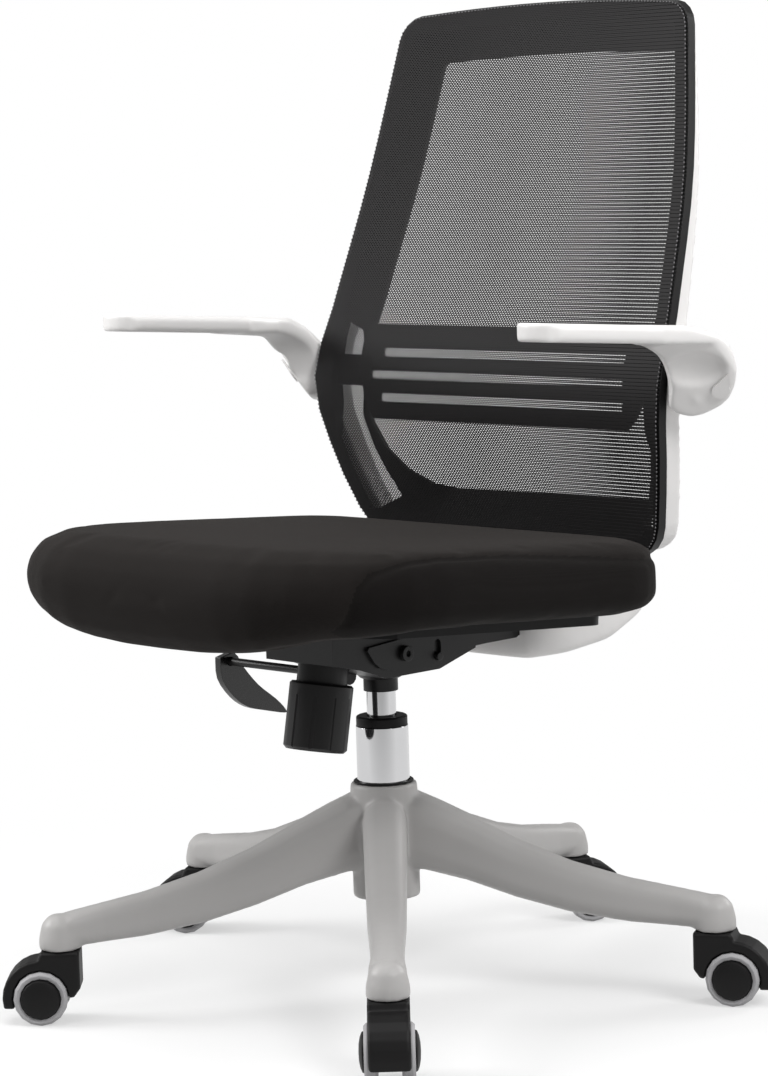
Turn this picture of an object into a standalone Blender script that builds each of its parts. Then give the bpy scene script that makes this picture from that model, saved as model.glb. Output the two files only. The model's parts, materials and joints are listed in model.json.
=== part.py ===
"""Office chair on a five-arm caster base, with a reclining mesh back, flip-up arms and a gas lift.

The chair faces -Y and the occupant's left is +X. Everything is modelled around the lift column's axis,
and the finished chair is then centred on the floor, so that its box stands at the origin. Units are metres.
"""

import math

import bmesh
import bpy
from mathutils import Matrix, Vector

# Clearances
GAP = 0.0003
RUNNING_GAP = 0.0005
BOLT_GAP = 0.0004

# Casters
WHEEL_RADIUS = 0.025
WHEEL_WIDTH = 0.0122
TYRE_DEPTH = 0.006
WHEEL_SPACING = 0.020
HUB_DOME = 0.0046
AXLE_RADIUS = 0.004
AXLE_IN_HUB = 0.011
CASTER_TRAIL = 0.0180
HOOD_REACH = 0.0105
HOOD_WIDTH = 0.037
HOOD_CROWN = 0.0175
HOOD_SKIRT_ANGLE = math.radians(-15)
BOSS_RADIUS = 0.0185
HUB_SURROUND = 0.011
STEM_RADIUS = 0.0055
STEM_IN_SOCKET = 0.026
STEM_IN_HOOD = 0.010
WHEEL_GAP = 0.0012

# Base
CASTER_COUNT = 5
CASTER_SWIVELS = tuple(math.radians(angle) for angle in (0, 3, -42, 42, -18))
CASTER_CIRCLE = 0.317
FIRST_ARM_ANGLE = math.radians(-45.3)
SOCKET_RADIUS = 0.0195
SOCKET_HEIGHT = 0.034
ARM_ROOT_HEIGHT = 0.0725
ARM_ROOT_RISE = 0.046
HUB_RADIUS = 0.032
HUB_DROP = 0.026
HUB_COLLAR = 0.011

# Lift
COLUMN_RADIUS = 0.025
COLUMN_WALL = 0.0022
COLUMN_SHOWN = 0.0536
COLUMN_FLOOR = 0.003
COLUMN_LEDGE = 0.010
COLLAR_HEIGHT = 0.0092
BUSH_LENGTH = 0.080
CYLINDER_RADIUS = 0.014
CYLINDER_WALL = 0.0024
CYLINDER_SHOWN = 0.0238
CYLINDER_LENGTH = 0.188
CYLINDER_CAP = 0.004
PISTON_ROD_RADIUS = 0.005
PISTON_HEIGHT = 0.010
PISTON_LEVEL = 0.132
BEARING_RADIUS = 0.013
BEARING_HEIGHT = 0.002

# Tilt mechanism
SLEEVE_RADIUS = 0.0165
SLEEVE_LENGTH = 0.0115
FLARE_RADIUS = 0.025
FLARE_HEIGHT = 0.0076
HOUSING_WIDTH = 0.088
HOUSING_FRONT = 0.105
HOUSING_REAR = 0.085
HOUSING_HEIGHT = 0.0486
HOUSING_CHAMFER = 0.012
FLANGE_WIDTH = 0.170
FLANGE_FRONT = 0.115
FLANGE_REAR = 0.100
FLANGE_THICKNESS = 0.003
SEAT_TILT = math.radians(4.0)
RECLINE_FORWARD = 0.015
RECLINE_RISE = 0.0214
RECLINE_BOLT_RADIUS = 0.004
BOLT_HEAD_RADIUS = 0.0075
BOLT_HEAD_HEIGHT = 0.005
PLATE_THICKNESS = 0.003
STOP_PIN_RADIUS = 0.004
STOP_PIN_BEHIND = 0.0437
STOP_PIN_BELOW = 0.008
STOP_PIN_PROUD = 0.004
RECLINE_RANGE = math.radians(15)
TONGUE_LENGTH = 0.062
TONGUE_THICKNESS = 0.005
LEVER_FORWARD = 0.040
LEVER_DROP = 0.001
LEVER_RADIUS = 0.004
LEVER_REACH = 0.168
LEVER_DEPTH = 0.022
LEVER_BOSS_RADIUS = 0.0085
LEVER_BOSS_REACH = 0.060
PADDLE_THICKNESS = 0.008

# Recline tension
TENSION_TILT = math.radians(11)
TENSION_FORWARD = 0.070
TENSION_RISE = 0.0324
SPRING_TUBE_RADIUS = 0.024
SPRING_TUBE_DROP = 0.041
SPRING_BORE = 0.0195
SPRING_BORE_TOP = 0.004
SPRING_RADIUS = 0.0145
SPRING_WIRE = 0.0019
SPRING_TURNS = 5
SPRING_LENGTH = 0.025
PRESSURE_PLATE_THICKNESS = 0.006
TENSION_BOLT_RADIUS = 0.005
KNOB_RADIUS = 0.030
KNOB_LENGTH = 0.063
KNOB_LIP = 0.006
KNOB_GROOVES = 10
KNOB_GROOVE_RADIUS = 0.0035
KNOB_GROOVE_DEPTH = 0.0012

# Seat
PAN_HALF_WIDTH = 0.190
PAN_FRONT_INSET = 0.095
PAN_THICKNESS = 0.010
CUSHION_HALF_WIDTH = 0.245
CUSHION_FRONT = 0.305
CUSHION_REAR = 0.165
CUSHION_FRONT_CORNER = 0.145
CUSHION_REAR_CORNER = 0.078
CUSHION_SIDE_RISE = 0.0125
CUSHION_FRONT_DROP = 0.017
CUSHION_HEIGHT = 0.0775
CUSHION_CROWN = 0.003
CUSHION_NOSE_START = 0.10
CUSHION_CORNER_SHARE = 0.82
SEAT_BOLT_RADIUS = 0.003
SEAT_BOLT_SPREAD = 0.072
SEAT_BOLT_MARGIN = 0.015
STUD_PLATE_THICKNESS = 0.003

# Back: height above the recline axle, distance behind it and half width of the front edge
BACK_STATIONS = (
    (0.076, 0.200, 0.187),
    (0.156, 0.175, 0.213),
    (0.236, 0.161, 0.2265),
    (0.316, 0.188, 0.221),
    (0.436, 0.228, 0.2083),
    (0.594, 0.2630, 0.1850),
)
LUMBAR_STATION_COUNT = 2
BACK_SAG = 0.012
LUMBAR_SAG = 0.005
LUMBAR_SAG_REACH = 0.20
BACK_TOP_CROWN = 0.008
BACK_TOP_CORNER = 0.022
BACK_FOOT_CORNER = 0.030
WINDOW_CORNER_WIDTH = 0.038
WINDOW_CORNER_HEIGHT = 0.070
RIM_WIDTH = 0.018
RIM_DEPTH = 0.010
RAIL_INSET = 0.022
FLANGE_LEAN = 0.018
DISH_DEPTH = 0.031
DISH_WALL = 0.006
TOP_BAND = 0.048
FOOT_BAND = 0.046
CRESCENT_MARGIN = 0.0015
CRESCENT_WIDTH = 0.0125
CRESCENT_BELOW = 0.132
CRESCENT_CLIPS = 0.040
CRESCENT_RIM = 0.008
CRESCENT_STEPS = 16
CRESCENT_ABOVE = 0.060
MESH_THICKNESS = 0.0012
MESH_BORDER = 0.002

# White back frame
FRAME_INSET = 0.003
FRAME_TOP_INSET = 0.009
FRAME_INNER_INSET = 0.0168
FRAME_SEAT_GAP = 0.0008
FRAME_DEPTH = 0.034
FRAME_TOP_DEPTH = 0.020
FRAME_FOOT_BEHIND = 0.1575
FOOT_SLOT_CLEARANCE = 0.0004
# Foot path: distance behind the recline axle, height above it, half thickness, half width
FOOT_STATIONS = (
    (0.1575, -0.0020, 0.0205, 0.060),
    (0.1660, -0.0045, 0.0240, 0.064),
    (0.2150, -0.0050, 0.0240, 0.068),
    (0.2640, -0.0005, 0.0220, 0.074),
    (0.2980, 0.0150, 0.0185, 0.080),
    (0.3100, 0.0390, 0.0140, 0.087),
    (0.2960, 0.0620, 0.0105, 0.095),
    (0.2650, 0.0790, 0.0080, 0.105),
    (0.2270, 0.0860, 0.0062, 0.115),
)
BACK_BOLT_RADIUS = 0.003
BACK_BOLT_SPREAD = 0.030
BACK_BOLT_PITCH = 0.025
CLAMP_THICKNESS = 0.003
CLAMP_MARGIN = 0.008
CLAMP_SINK = 0.005

# Lumbar support
LUMBAR_HEIGHT = 0.095
LUMBAR_HALF = 0.189
LUMBAR_TOP_STEP = 0.013
LUMBAR_FOOT_STEP = 0.023
LUMBAR_THICKNESS = 0.005
LUMBAR_BEHIND = 0.030
LUMBAR_TILT = math.radians(8)
LUMBAR_RISE = 0.0075
LUMBAR_SLOT_HEIGHT = 0.008
LUMBAR_SLOT_PITCH = 0.0225
LUMBAR_SLOT_MARGINS = (0.029, 0.013, 0.029)
LUMBAR_SLOT_DROP = 0.003
CLIP_HEIGHT = 0.030
CLIP_OVERLAP = 0.016
CLIP_FORWARD = 0.020
CLIP_DEPTH = 0.013

# Armrests
ARM_CENTRE = 0.273
PAD_WIDTH = 0.048
PAD_REACH = 0.256
PAD_TIP_RADIUS = 0.024
PAD_TOP = 0.0747
PAD_FALL = 0.070
PAD_THICKNESS = 0.0165
PAD_END = 0.060
PAD_EDGE = 0.004
PIVOT_BEHIND = 0.0230
PIVOT_RISE = 0.003
PIVOT_RADIUS = 0.006
PIVOT_DEPTH = 0.033
PIVOT_BOSS_RADIUS = 0.0096
PIVOT_BOSS_LENGTH = 0.0125
PIVOT_BOSS_PROUD = 0.0013
KNUCKLE_RADIUS = 0.0165
KNUCKLE_GAP = 0.0007
ARM_CAP_THICKNESS = 0.002
ARM_CAP_RADIUS = 0.0085
ARM_CAP_TIP = 0.0190
SCOOP_SIZE = (0.0276, 0.0195, 0.009)
SCOOP_RISE = 0.0236
# The hook from the pad to the pivot, seen along its own face: (sideways, up) from the pivot
HOOK_OUTLINE = (
    (-0.0662, 0.0422),
    (-0.0537, 0.0340),
    (-0.0453, 0.0225),
    (-0.0400, 0.0014),
    (-0.0408, -0.0175),
    (-0.0215, -0.0262),
    (-0.0035, -0.0215),
    (0.0138, -0.0085),
    (0.0192, 0.0180),
    (0.0098, 0.0440),
    (-0.0085, 0.0541),
    (-0.0286, 0.0604),
)
HOOK_ROOM = 0.15
HOOK_PAD_OVERLAP = ((-0.0792, 0.0655), (-0.0792, 0.0471))
# The hook seen from its edge: (outward, up) from the pivot, with a sloping outer face
HOOK_FACE_LOW = (-0.0136, -0.0265)
HOOK_FACE_HIGH = (0.0339, 0.0426)
HOOK_EDGE_OUTLINE = (
    (-0.0382, -0.0265),
    (-0.0382, 0.0146),
    (-0.0078, 0.0476),
    (0.0078, 0.0586),
    (0.0850, 0.0650),
    (0.0850, 0.0475),
)

# Heights worked out from the sizes above
SOCKET_BOTTOM = 2 * WHEEL_RADIUS + HOOD_CROWN
SOCKET_TOP = SOCKET_BOTTOM + SOCKET_HEIGHT
ARM_ROOT_BOTTOM = SOCKET_BOTTOM + ARM_ROOT_RISE
ARM_ROOT_TOP = ARM_ROOT_BOTTOM + ARM_ROOT_HEIGHT
HUB_LEDGE = 0.002
HUB_BOTTOM = ARM_ROOT_BOTTOM - HUB_DROP
HUB_TOP = ARM_ROOT_TOP + HUB_COLLAR
COLUMN_BOTTOM = HUB_BOTTOM + COLUMN_LEDGE
COLUMN_TOP = HUB_TOP + COLUMN_SHOWN
COLLAR_TOP = COLUMN_TOP + GAP + COLLAR_HEIGHT
SLEEVE_BOTTOM = COLLAR_TOP + CYLINDER_SHOWN
FLARE_BOTTOM = SLEEVE_BOTTOM + SLEEVE_LENGTH
HOUSING_BOTTOM = FLARE_BOTTOM + FLARE_HEIGHT
FLANGE_TOP = HOUSING_BOTTOM + HOUSING_HEIGHT + FLANGE_THICKNESS
SEAT_LEVEL = FLANGE_TOP + GAP
CYLINDER_TOP = HOUSING_BOTTOM + RECLINE_RISE - RECLINE_BOLT_RADIUS - 0.002
CYLINDER_BOTTOM = CYLINDER_TOP - CYLINDER_LENGTH

# Places of the joints, around the column's axis
RECLINE_AXLE = Vector((0, -RECLINE_FORWARD, HOUSING_BOTTOM + RECLINE_RISE))
TENSION_ANCHOR = Vector((0, -TENSION_FORWARD, HOUSING_BOTTOM + TENSION_RISE))
LEVER_AXIS = Vector((0, -LEVER_FORWARD, HOUSING_BOTTOM - LEVER_DROP))
PLATE_INNER = HOUSING_WIDTH / 2 + RUNNING_GAP
PLATE_OUTER = PLATE_INNER + PLATE_THICKNESS
PAN_INSET = CUSHION_HALF_WIDTH - PAN_HALF_WIDTH

TURN = 2 * math.pi
ROUND_SIDES = 12
FINE_SIDES = 20
WHEEL_SIDES = 16
LOOP_EDGE_POINTS = 5
LOOP_CORNER_POINTS = 4
LOOP_SIDE_POINTS = 14
SHARP_ANGLE = math.radians(35)

FINISHES = {
    "white_plastic": ((0.80, 0.79, 0.78), 0.42, 0.0),
    "black_plastic": ((0.018, 0.018, 0.019), 0.50, 0.0),
    "black_steel": ((0.020, 0.020, 0.021), 0.42, 0.0),
    "chrome": ((0.80, 0.80, 0.82), 0.10, 1.0),
    "steel": ((0.50, 0.50, 0.52), 0.32, 1.0),
    "grey_tyre": ((0.40, 0.40, 0.42), 0.60, 0.0),
    "seat_fabric": ((0.026, 0.024, 0.023), 0.90, 0.0),
    "back_mesh": ((0.022, 0.022, 0.023), 0.80, 0.0),
}


def empty_scene():
    """Remove every object that the file starts with."""
    for item in list(bpy.data.objects):
        bpy.data.objects.remove(item, do_unlink=True)


def make_finish(name):
    """Return the Principled material of one finish."""
    colour, roughness, metallic = FINISHES[name]
    material = bpy.data.materials.new(name)
    material.use_nodes = True
    shader = material.node_tree.nodes["Principled BSDF"]
    shader.inputs["Base Color"].default_value = (*colour, 1.0)
    shader.inputs["Roughness"].default_value = roughness
    shader.inputs["Metallic"].default_value = metallic
    material.diffuse_color = (*colour, 1.0)
    return material


def make_collection(name):
    """Return a new collection in the scene."""
    collection = bpy.data.collections.new(name)
    bpy.context.scene.collection.children.link(collection)
    return collection


empty_scene()
PARTS = make_collection("office_chair")
WORKSHOP = make_collection("workshop")
MATERIALS = {name: make_finish(name) for name in FINISHES}
REST = {}


# Mesh tools


def finished(bm):
    """Turn a bmesh into a mesh with its faces pointing out."""
    bmesh.ops.recalc_face_normals(bm, faces=bm.faces)
    mesh = bpy.data.meshes.new("shape")
    bm.to_mesh(mesh)
    bm.free()
    return mesh


def evaluated_mesh(item):
    """Return an object's evaluated mesh with its doubled points welded, and remove the object."""
    bpy.context.view_layer.update()
    source = item.evaluated_get(bpy.context.evaluated_depsgraph_get())
    raw = bpy.data.meshes.new_from_object(source)
    bm = bmesh.new()
    bm.from_mesh(raw)
    bmesh.ops.remove_doubles(bm, verts=bm.verts, dist=0.000005)
    bpy.data.objects.remove(item, do_unlink=True)
    return finished(bm)


def workpiece(data):
    """Put mesh or curve data on a bench object."""
    item = bpy.data.objects.new("workpiece", data)
    WORKSHOP.objects.link(item)
    return item


def shaped(mesh, joined=(), cut=(), common=()):
    """Return what the mesh shares with some meshes, united with others and cut by the rest."""
    body = workpiece(mesh)
    tools = []
    for operation, tool_meshes in (("INTERSECT", common), ("UNION", joined), ("DIFFERENCE", cut)):
        for tool_mesh in tool_meshes:
            tool = workpiece(tool_mesh)
            tools.append(tool)
            modifier = body.modifiers.new(operation, "BOOLEAN")
            modifier.operation = operation
            modifier.solver = "EXACT"
            modifier.object = tool
    bpy.context.view_layer.update()
    source = body.evaluated_get(bpy.context.evaluated_depsgraph_get())
    result = bpy.data.meshes.new_from_object(source)
    for item in (body, *tools):
        bpy.data.objects.remove(item, do_unlink=True)
    return result


def placed(mesh, matrix):
    """Return a copy of a mesh, moved by a matrix."""
    moved = mesh.copy()
    moved.transform(matrix)
    if matrix.determinant() < 0:
        moved.flip_normals()
    return moved


def box(low, high):
    """Return a box between two corners."""
    low, high = Vector(low), Vector(high)
    size = high - low
    bm = bmesh.new()
    place = Matrix.Translation((low + high) / 2) @ Matrix.Diagonal((*size, 1))
    bmesh.ops.create_cube(bm, size=1, matrix=place)
    return finished(bm)


def rod(start, end, radius, sides=ROUND_SIDES, end_radius=None):
    """Return a cylinder, or a cone, between two points."""
    start, end = Vector(start), Vector(end)
    along = end - start
    place = Matrix.Translation((start + end) / 2) @ along.to_track_quat("Z", "Y").to_matrix().to_4x4()
    bm = bmesh.new()
    bmesh.ops.create_cone(
        bm,
        cap_ends=True,
        segments=sides,
        radius1=radius,
        radius2=radius if end_radius is None else end_radius,
        depth=along.length,
        matrix=place,
    )
    return finished(bm)


def turned(profile, closed=False, steps=FINE_SIDES):
    """Return a profile of (radius, height) points turned about Z."""
    mesh = bpy.data.meshes.new("profile")
    count = len(profile)
    edges = [(i, i + 1) for i in range(count - 1)]
    if closed:
        edges.append((count - 1, 0))
    mesh.from_pydata([(radius, 0, height) for radius, height in profile], edges, [])
    item = workpiece(mesh)
    screw = item.modifiers.new("turn", "SCREW")
    screw.steps = steps
    screw.render_steps = steps
    screw.use_merge_vertices = True
    screw.merge_threshold = 0.00005
    return evaluated_mesh(item)


def flat_plate(outline, thickness, holes=(), edge=0.0):
    """Return an outline of (x, y) points with holes, given a thickness about z = 0 and rounded edges."""
    curve = bpy.data.curves.new("plate", "CURVE")
    curve.dimensions = "2D"
    curve.fill_mode = "BOTH"
    curve.extrude = thickness / 2 - edge
    curve.bevel_depth = edge
    curve.bevel_resolution = 0
    curve.offset = -edge
    for points in (outline, *holes):
        spline = curve.splines.new("POLY")
        spline.points.add(len(points) - 1)
        spline.use_cyclic_u = True
        for target, point in zip(spline.points, points):
            target.co = (point[0], point[1], 0, 1)
    return evaluated_mesh(workpiece(curve))


def round_tube(points, radius):
    """Return a tube along points, with flat caps."""
    curve = bpy.data.curves.new("tube", "CURVE")
    curve.dimensions = "3D"
    curve.bevel_depth = radius
    curve.bevel_resolution = 1
    curve.use_fill_caps = True
    spline = curve.splines.new("POLY")
    spline.points.add(len(points) - 1)
    for target, point in zip(spline.points, points):
        target.co = (*point, 1)
    return evaluated_mesh(workpiece(curve))


def lofted(sections, round_trip=False):
    """Return a skin over closed sections with equal point counts, capped or joined end to end."""
    bm = bmesh.new()
    rings = [[bm.verts.new(point) for point in section] for section in sections]
    pairs = list(zip(rings, rings[1:]))
    if round_trip:
        pairs.append((rings[-1], rings[0]))
    for first, second in pairs:
        for i in range(len(first)):
            j = (i + 1) % len(first)
            bm.faces.new((first[i], first[j], second[j], second[i]))
    if not round_trip:
        bm.faces.new(rings[0])
        bm.faces.new(rings[-1])
    return finished(bm)


# Outlines


def arc(centre, radius, start, end, count):
    """Return points along a circular arc."""
    steps = [start + (end - start) * i / (count - 1) for i in range(count)]
    return [(centre[0] + radius * math.cos(a), centre[1] + radius * math.sin(a)) for a in steps]


def smooth_run(points, per_span):
    """Return points on a smooth curve through some points."""
    run = []
    for i in range(len(points) - 1):
        before = Vector(points[max(i - 1, 0)])
        start = Vector(points[i])
        end = Vector(points[i + 1])
        after = Vector(points[min(i + 2, len(points) - 1)])
        for step in range(per_span):
            t = step / per_span
            pull = (end - before) * 0.5 * (t - 2 * t**2 + t**3)
            push = (after - start) * 0.5 * (t**3 - t**2)
            run.append(tuple(start * (1 - 3 * t**2 + 2 * t**3) + end * (3 * t**2 - 2 * t**3) + pull + push))
    run.append(tuple(points[-1]))
    return run


def rounded_block(half_width, half_height, count=16, squareness=3.0):
    """Return a superellipse section of (across, up) points."""
    points = []
    for i in range(count):
        angle = TURN * (i + 0.5) / count
        across = math.copysign(abs(math.cos(angle)) ** (2 / squareness), math.cos(angle))
        up = math.copysign(abs(math.sin(angle)) ** (2 / squareness), math.sin(angle))
        points.append((half_width * across, half_height * up))
    return points


def seat_outline(inset, corner_points=7, side_points=3):
    """Return the cushion's outline, drawn in by an inset."""
    half = CUSHION_HALF_WIDTH - inset
    front = -CUSHION_FRONT + inset
    rear = CUSHION_REAR - inset
    points = []
    corners = ((1, -1, -0.25), (1, 1, 0.0), (-1, 1, 0.25), (-1, -1, 0.5))
    for side, end, start in corners:
        full_radius = CUSHION_REAR_CORNER if end > 0 else CUSHION_FRONT_CORNER
        radius = max(full_radius - inset, full_radius / 4)
        centre = (side * (half - radius), (rear - radius) if end > 0 else (front + radius))
        points += arc(centre, radius, start * TURN, (start + 0.25) * TURN, corner_points)
    filled = []
    for i, point in enumerate(points):
        filled.append(point)
        if i % corner_points == corner_points - 1:
            after = points[(i + 1) % len(points)]
            for step in range(1, side_points + 1):
                t = step / (side_points + 1)
                filled.append((point[0] + (after[0] - point[0]) * t, point[1] + (after[1] - point[1]) * t))
    return filled


# Back surface


def along_back(height, column):
    """Return a station value at a height, on a smooth curve through the stations."""
    stations = BACK_STATIONS
    lift = height - RECLINE_AXLE.z
    lift = min(max(lift, stations[0][0]), stations[-1][0])
    last = len(stations) - 1
    i = max(k for k in range(last) if stations[k][0] <= lift)
    slopes = []
    for k in (i, i + 1):
        low, high = max(k - 1, 0), min(k + 1, last)
        change = stations[high][column] - stations[low][column]
        slopes.append(change / (stations[high][0] - stations[low][0]))
    span = stations[i + 1][0] - stations[i][0]
    t = (lift - stations[i][0]) / span
    start, end = stations[i][column], stations[i + 1][column]
    return (
        start * (1 - 3 * t**2 + 2 * t**3)
        + end * (3 * t**2 - 2 * t**3)
        + span * (slopes[0] * (t - 2 * t**2 + t**3) + slopes[1] * (t**3 - t**2))
    )


BACK_BOTTOM = RECLINE_AXLE.z + BACK_STATIONS[0][0]
BACK_TOP = RECLINE_AXLE.z + BACK_STATIONS[-1][0]
LUMBAR_LEVEL = RECLINE_AXLE.z + BACK_STATIONS[LUMBAR_STATION_COUNT][0]
RAIL_X = BACK_STATIONS[LUMBAR_STATION_COUNT][2] - RAIL_INSET


def half_width(height):
    """Return the back's half width at a height."""
    return along_back(height, 2)


def front_depth(x, height):
    """Return the y of the back's front surface."""
    share = x / half_width(height)
    away = min(abs(height - LUMBAR_LEVEL) / LUMBAR_SAG_REACH, 1.0)
    sag = LUMBAR_SAG + (BACK_SAG - LUMBAR_SAG) * away**1.5
    return RECLINE_AXLE.y + along_back(height, 1) + sag * (1 - share * share)


def back_height_share(height):
    """Return 0 up to the lumbar level and 1 at the top of the back."""
    return min(max((height - LUMBAR_LEVEL) / (BACK_TOP - LUMBAR_LEVEL), 0.0), 1.0)


def rim_limit(height, inset):
    """Return how far out the rim's inner edge reaches, straight beside the lumbar support."""
    return min(half_width(height) - inset, RAIL_X)


def back_loop(inset, top_inset, foot_inset, depth, straight=False, foot_corner=None):
    """Return one closed loop around the back; inset and depth are values or functions of height."""
    inset_at = inset if callable(inset) else lambda height: inset
    depth_at = depth if callable(depth) else lambda height: depth
    low, high = BACK_BOTTOM + foot_inset, BACK_TOP - top_inset
    foot_round = max(BACK_FOOT_CORNER - foot_inset, 0.012)
    corner_width, corner_height = foot_corner or (foot_round, foot_round)
    top_corner = max(BACK_TOP_CORNER - top_inset, 0.008)
    edge_points, corner_points, side_points = LOOP_EDGE_POINTS, LOOP_CORNER_POINTS, LOOP_SIDE_POINTS

    def side(height):
        reach = half_width(height) - inset_at(height)
        return min(reach, RAIL_X) if straight else reach

    right = []
    for i in range(corner_points):
        angle = math.pi / 2 * i / corner_points
        height = low + corner_height * (1 - math.cos(angle))
        right.append((side(height) - corner_width * (1 - math.sin(angle)), height))
    for i in range(side_points):
        height = low + corner_height + (high - top_corner - low - corner_height) * i / side_points
        right.append((side(height), height))
    for i in range(corner_points + 1):
        angle = math.pi / 2 * i / corner_points
        height = high - top_corner * (1 - math.sin(angle))
        right.append((side(height) - top_corner * (1 - math.cos(angle)), height))
    foot = [(right[0][0] * i / edge_points, low) for i in range(edge_points)]
    top = [(right[-1][0] * (1 - i / edge_points), high) for i in range(1, edge_points + 1)]
    half = foot + right + top
    outline = half + [(-x, height) for x, height in half[-2:0:-1]]
    loop = []
    for x, height in outline:
        share = x / half_width(height)
        crown = BACK_TOP_CROWN * (1 - share * share) * back_height_share(height) ** 2
        loop.append((x, front_depth(x, height) + depth_at(height), height + crown))
    return loop


def dish_depth(height):
    """Return the ring's depth, which grows in step with the window's rounded foot corners."""
    down = 1 - (height - BACK_BOTTOM - FOOT_BAND) / WINDOW_CORNER_HEIGHT
    down = min(max(down, 0.0), 1.0)
    return DISH_DEPTH + WINDOW_CORNER_WIDTH * (1 - math.sqrt(1 - down * down))


def between(low, high):
    """Return a value that runs from low at the lumbar level to high at the top of the back."""
    return lambda height: low + (high - low) * back_height_share(height)


# Parts


def make_frame(name, parent, place):
    """Return an empty at a joint, placed in the chair's own frame."""
    frame = bpy.data.objects.new(name, None)
    frame.empty_display_size = 0.03
    PARTS.objects.link(frame)
    REST[name] = place
    frame.parent = parent
    frame.matrix_local = (REST[parent.name].inverted() @ place) if parent else place
    return frame


def add_part(name, mesh, finish, frame, local=None):
    """Make a part that rides on a frame, from a mesh in the chair's frame or local to a place."""
    data = mesh.copy()
    data.name = name
    if local is None:
        data.transform(REST[frame.name].inverted())
    data.materials.clear()
    data.materials.append(MATERIALS[finish])
    data.shade_smooth()
    data.set_sharp_from_angle(angle=SHARP_ANGLE)
    part = bpy.data.objects.new(name, data)
    PARTS.objects.link(part)
    part.parent = frame
    if local is not None:
        part.matrix_local = local
    return part


def caster_meshes():
    """Return the meshes of one caster that trails along +X from its stem at the origin."""
    axle = (CASTER_TRAIL, WHEEL_RADIUS)
    hood_radius = WHEEL_RADIUS + HOOD_REACH
    hood_top = SOCKET_BOTTOM - GAP
    web = WHEEL_SPACING - 2 * WHEEL_GAP
    shoulder = math.acos(min((hood_top - WHEEL_RADIUS) / hood_radius * 0.84, 1.0))
    outline = arc(axle, hood_radius, HOOD_SKIRT_ANGLE, math.pi / 2 - shoulder, 8)
    outline += [(BOSS_RADIUS * 0.92, hood_top), (-BOSS_RADIUS, hood_top)]
    outline += [(-BOSS_RADIUS, WHEEL_RADIUS + 0.008), (-BOSS_RADIUS + 0.006, WHEEL_RADIUS)]
    outline += arc(axle, HUB_SURROUND, math.radians(200), math.radians(290), 4)
    to_side = Matrix.Rotation(math.pi / 2, 4, "X")
    hood = placed(flat_plate(outline, HOOD_WIDTH, edge=0.002), to_side)
    wheel_room = WHEEL_RADIUS + WHEEL_GAP
    cutters = []
    for side in (-1, 1):
        start = (axle[0], side * web / 2, axle[1])
        end = (axle[0], side * (HOOD_WIDTH / 2 + 0.01), axle[1])
        cutters.append(rod(start, end, wheel_room, sides=WHEEL_SIDES))
    cutters.append(rod((axle[0], -web, axle[1]), (axle[0], web, axle[1]), AXLE_RADIUS + GAP))
    stem = rod((0, 0, hood_top - STEM_IN_HOOD), (0, 0, SOCKET_BOTTOM + STEM_IN_SOCKET), STEM_RADIUS)
    hood = shaped(hood, [stem], cutters)

    axle_half = WHEEL_SPACING / 2 + AXLE_IN_HUB
    axle_pin = rod((axle[0], -axle_half, axle[1]), (axle[0], axle_half, axle[1]), AXLE_RADIUS, sides=12)

    hub_radius = WHEEL_RADIUS - TYRE_DEPTH - GAP
    bore = AXLE_RADIUS + GAP
    hub = turned([
        (0, WHEEL_WIDTH + HUB_DOME),
        (hub_radius * 0.40, WHEEL_WIDTH + HUB_DOME * 0.92),
        (hub_radius * 0.72, WHEEL_WIDTH + HUB_DOME * 0.68),
        (hub_radius * 0.93, WHEEL_WIDTH + HUB_DOME * 0.33),
        (hub_radius, WHEEL_WIDTH - 0.0015),
        (hub_radius, 0.0015),
        (bore, 0.0015),
        (bore, AXLE_IN_HUB + GAP),
        (0, AXLE_IN_HUB + GAP),
    ], steps=WHEEL_SIDES)
    crown = 0.0025
    tyre = turned([
        (WHEEL_RADIUS - TYRE_DEPTH, WHEEL_WIDTH - 0.0015),
        (WHEEL_RADIUS - crown, WHEEL_WIDTH),
        (WHEEL_RADIUS, WHEEL_WIDTH - crown),
        (WHEEL_RADIUS, crown),
        (WHEEL_RADIUS - crown, 0),
        (WHEEL_RADIUS - TYRE_DEPTH, 0.0015),
    ], closed=True, steps=WHEEL_SIDES)
    return hood, axle_pin, hub, tyre


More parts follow.
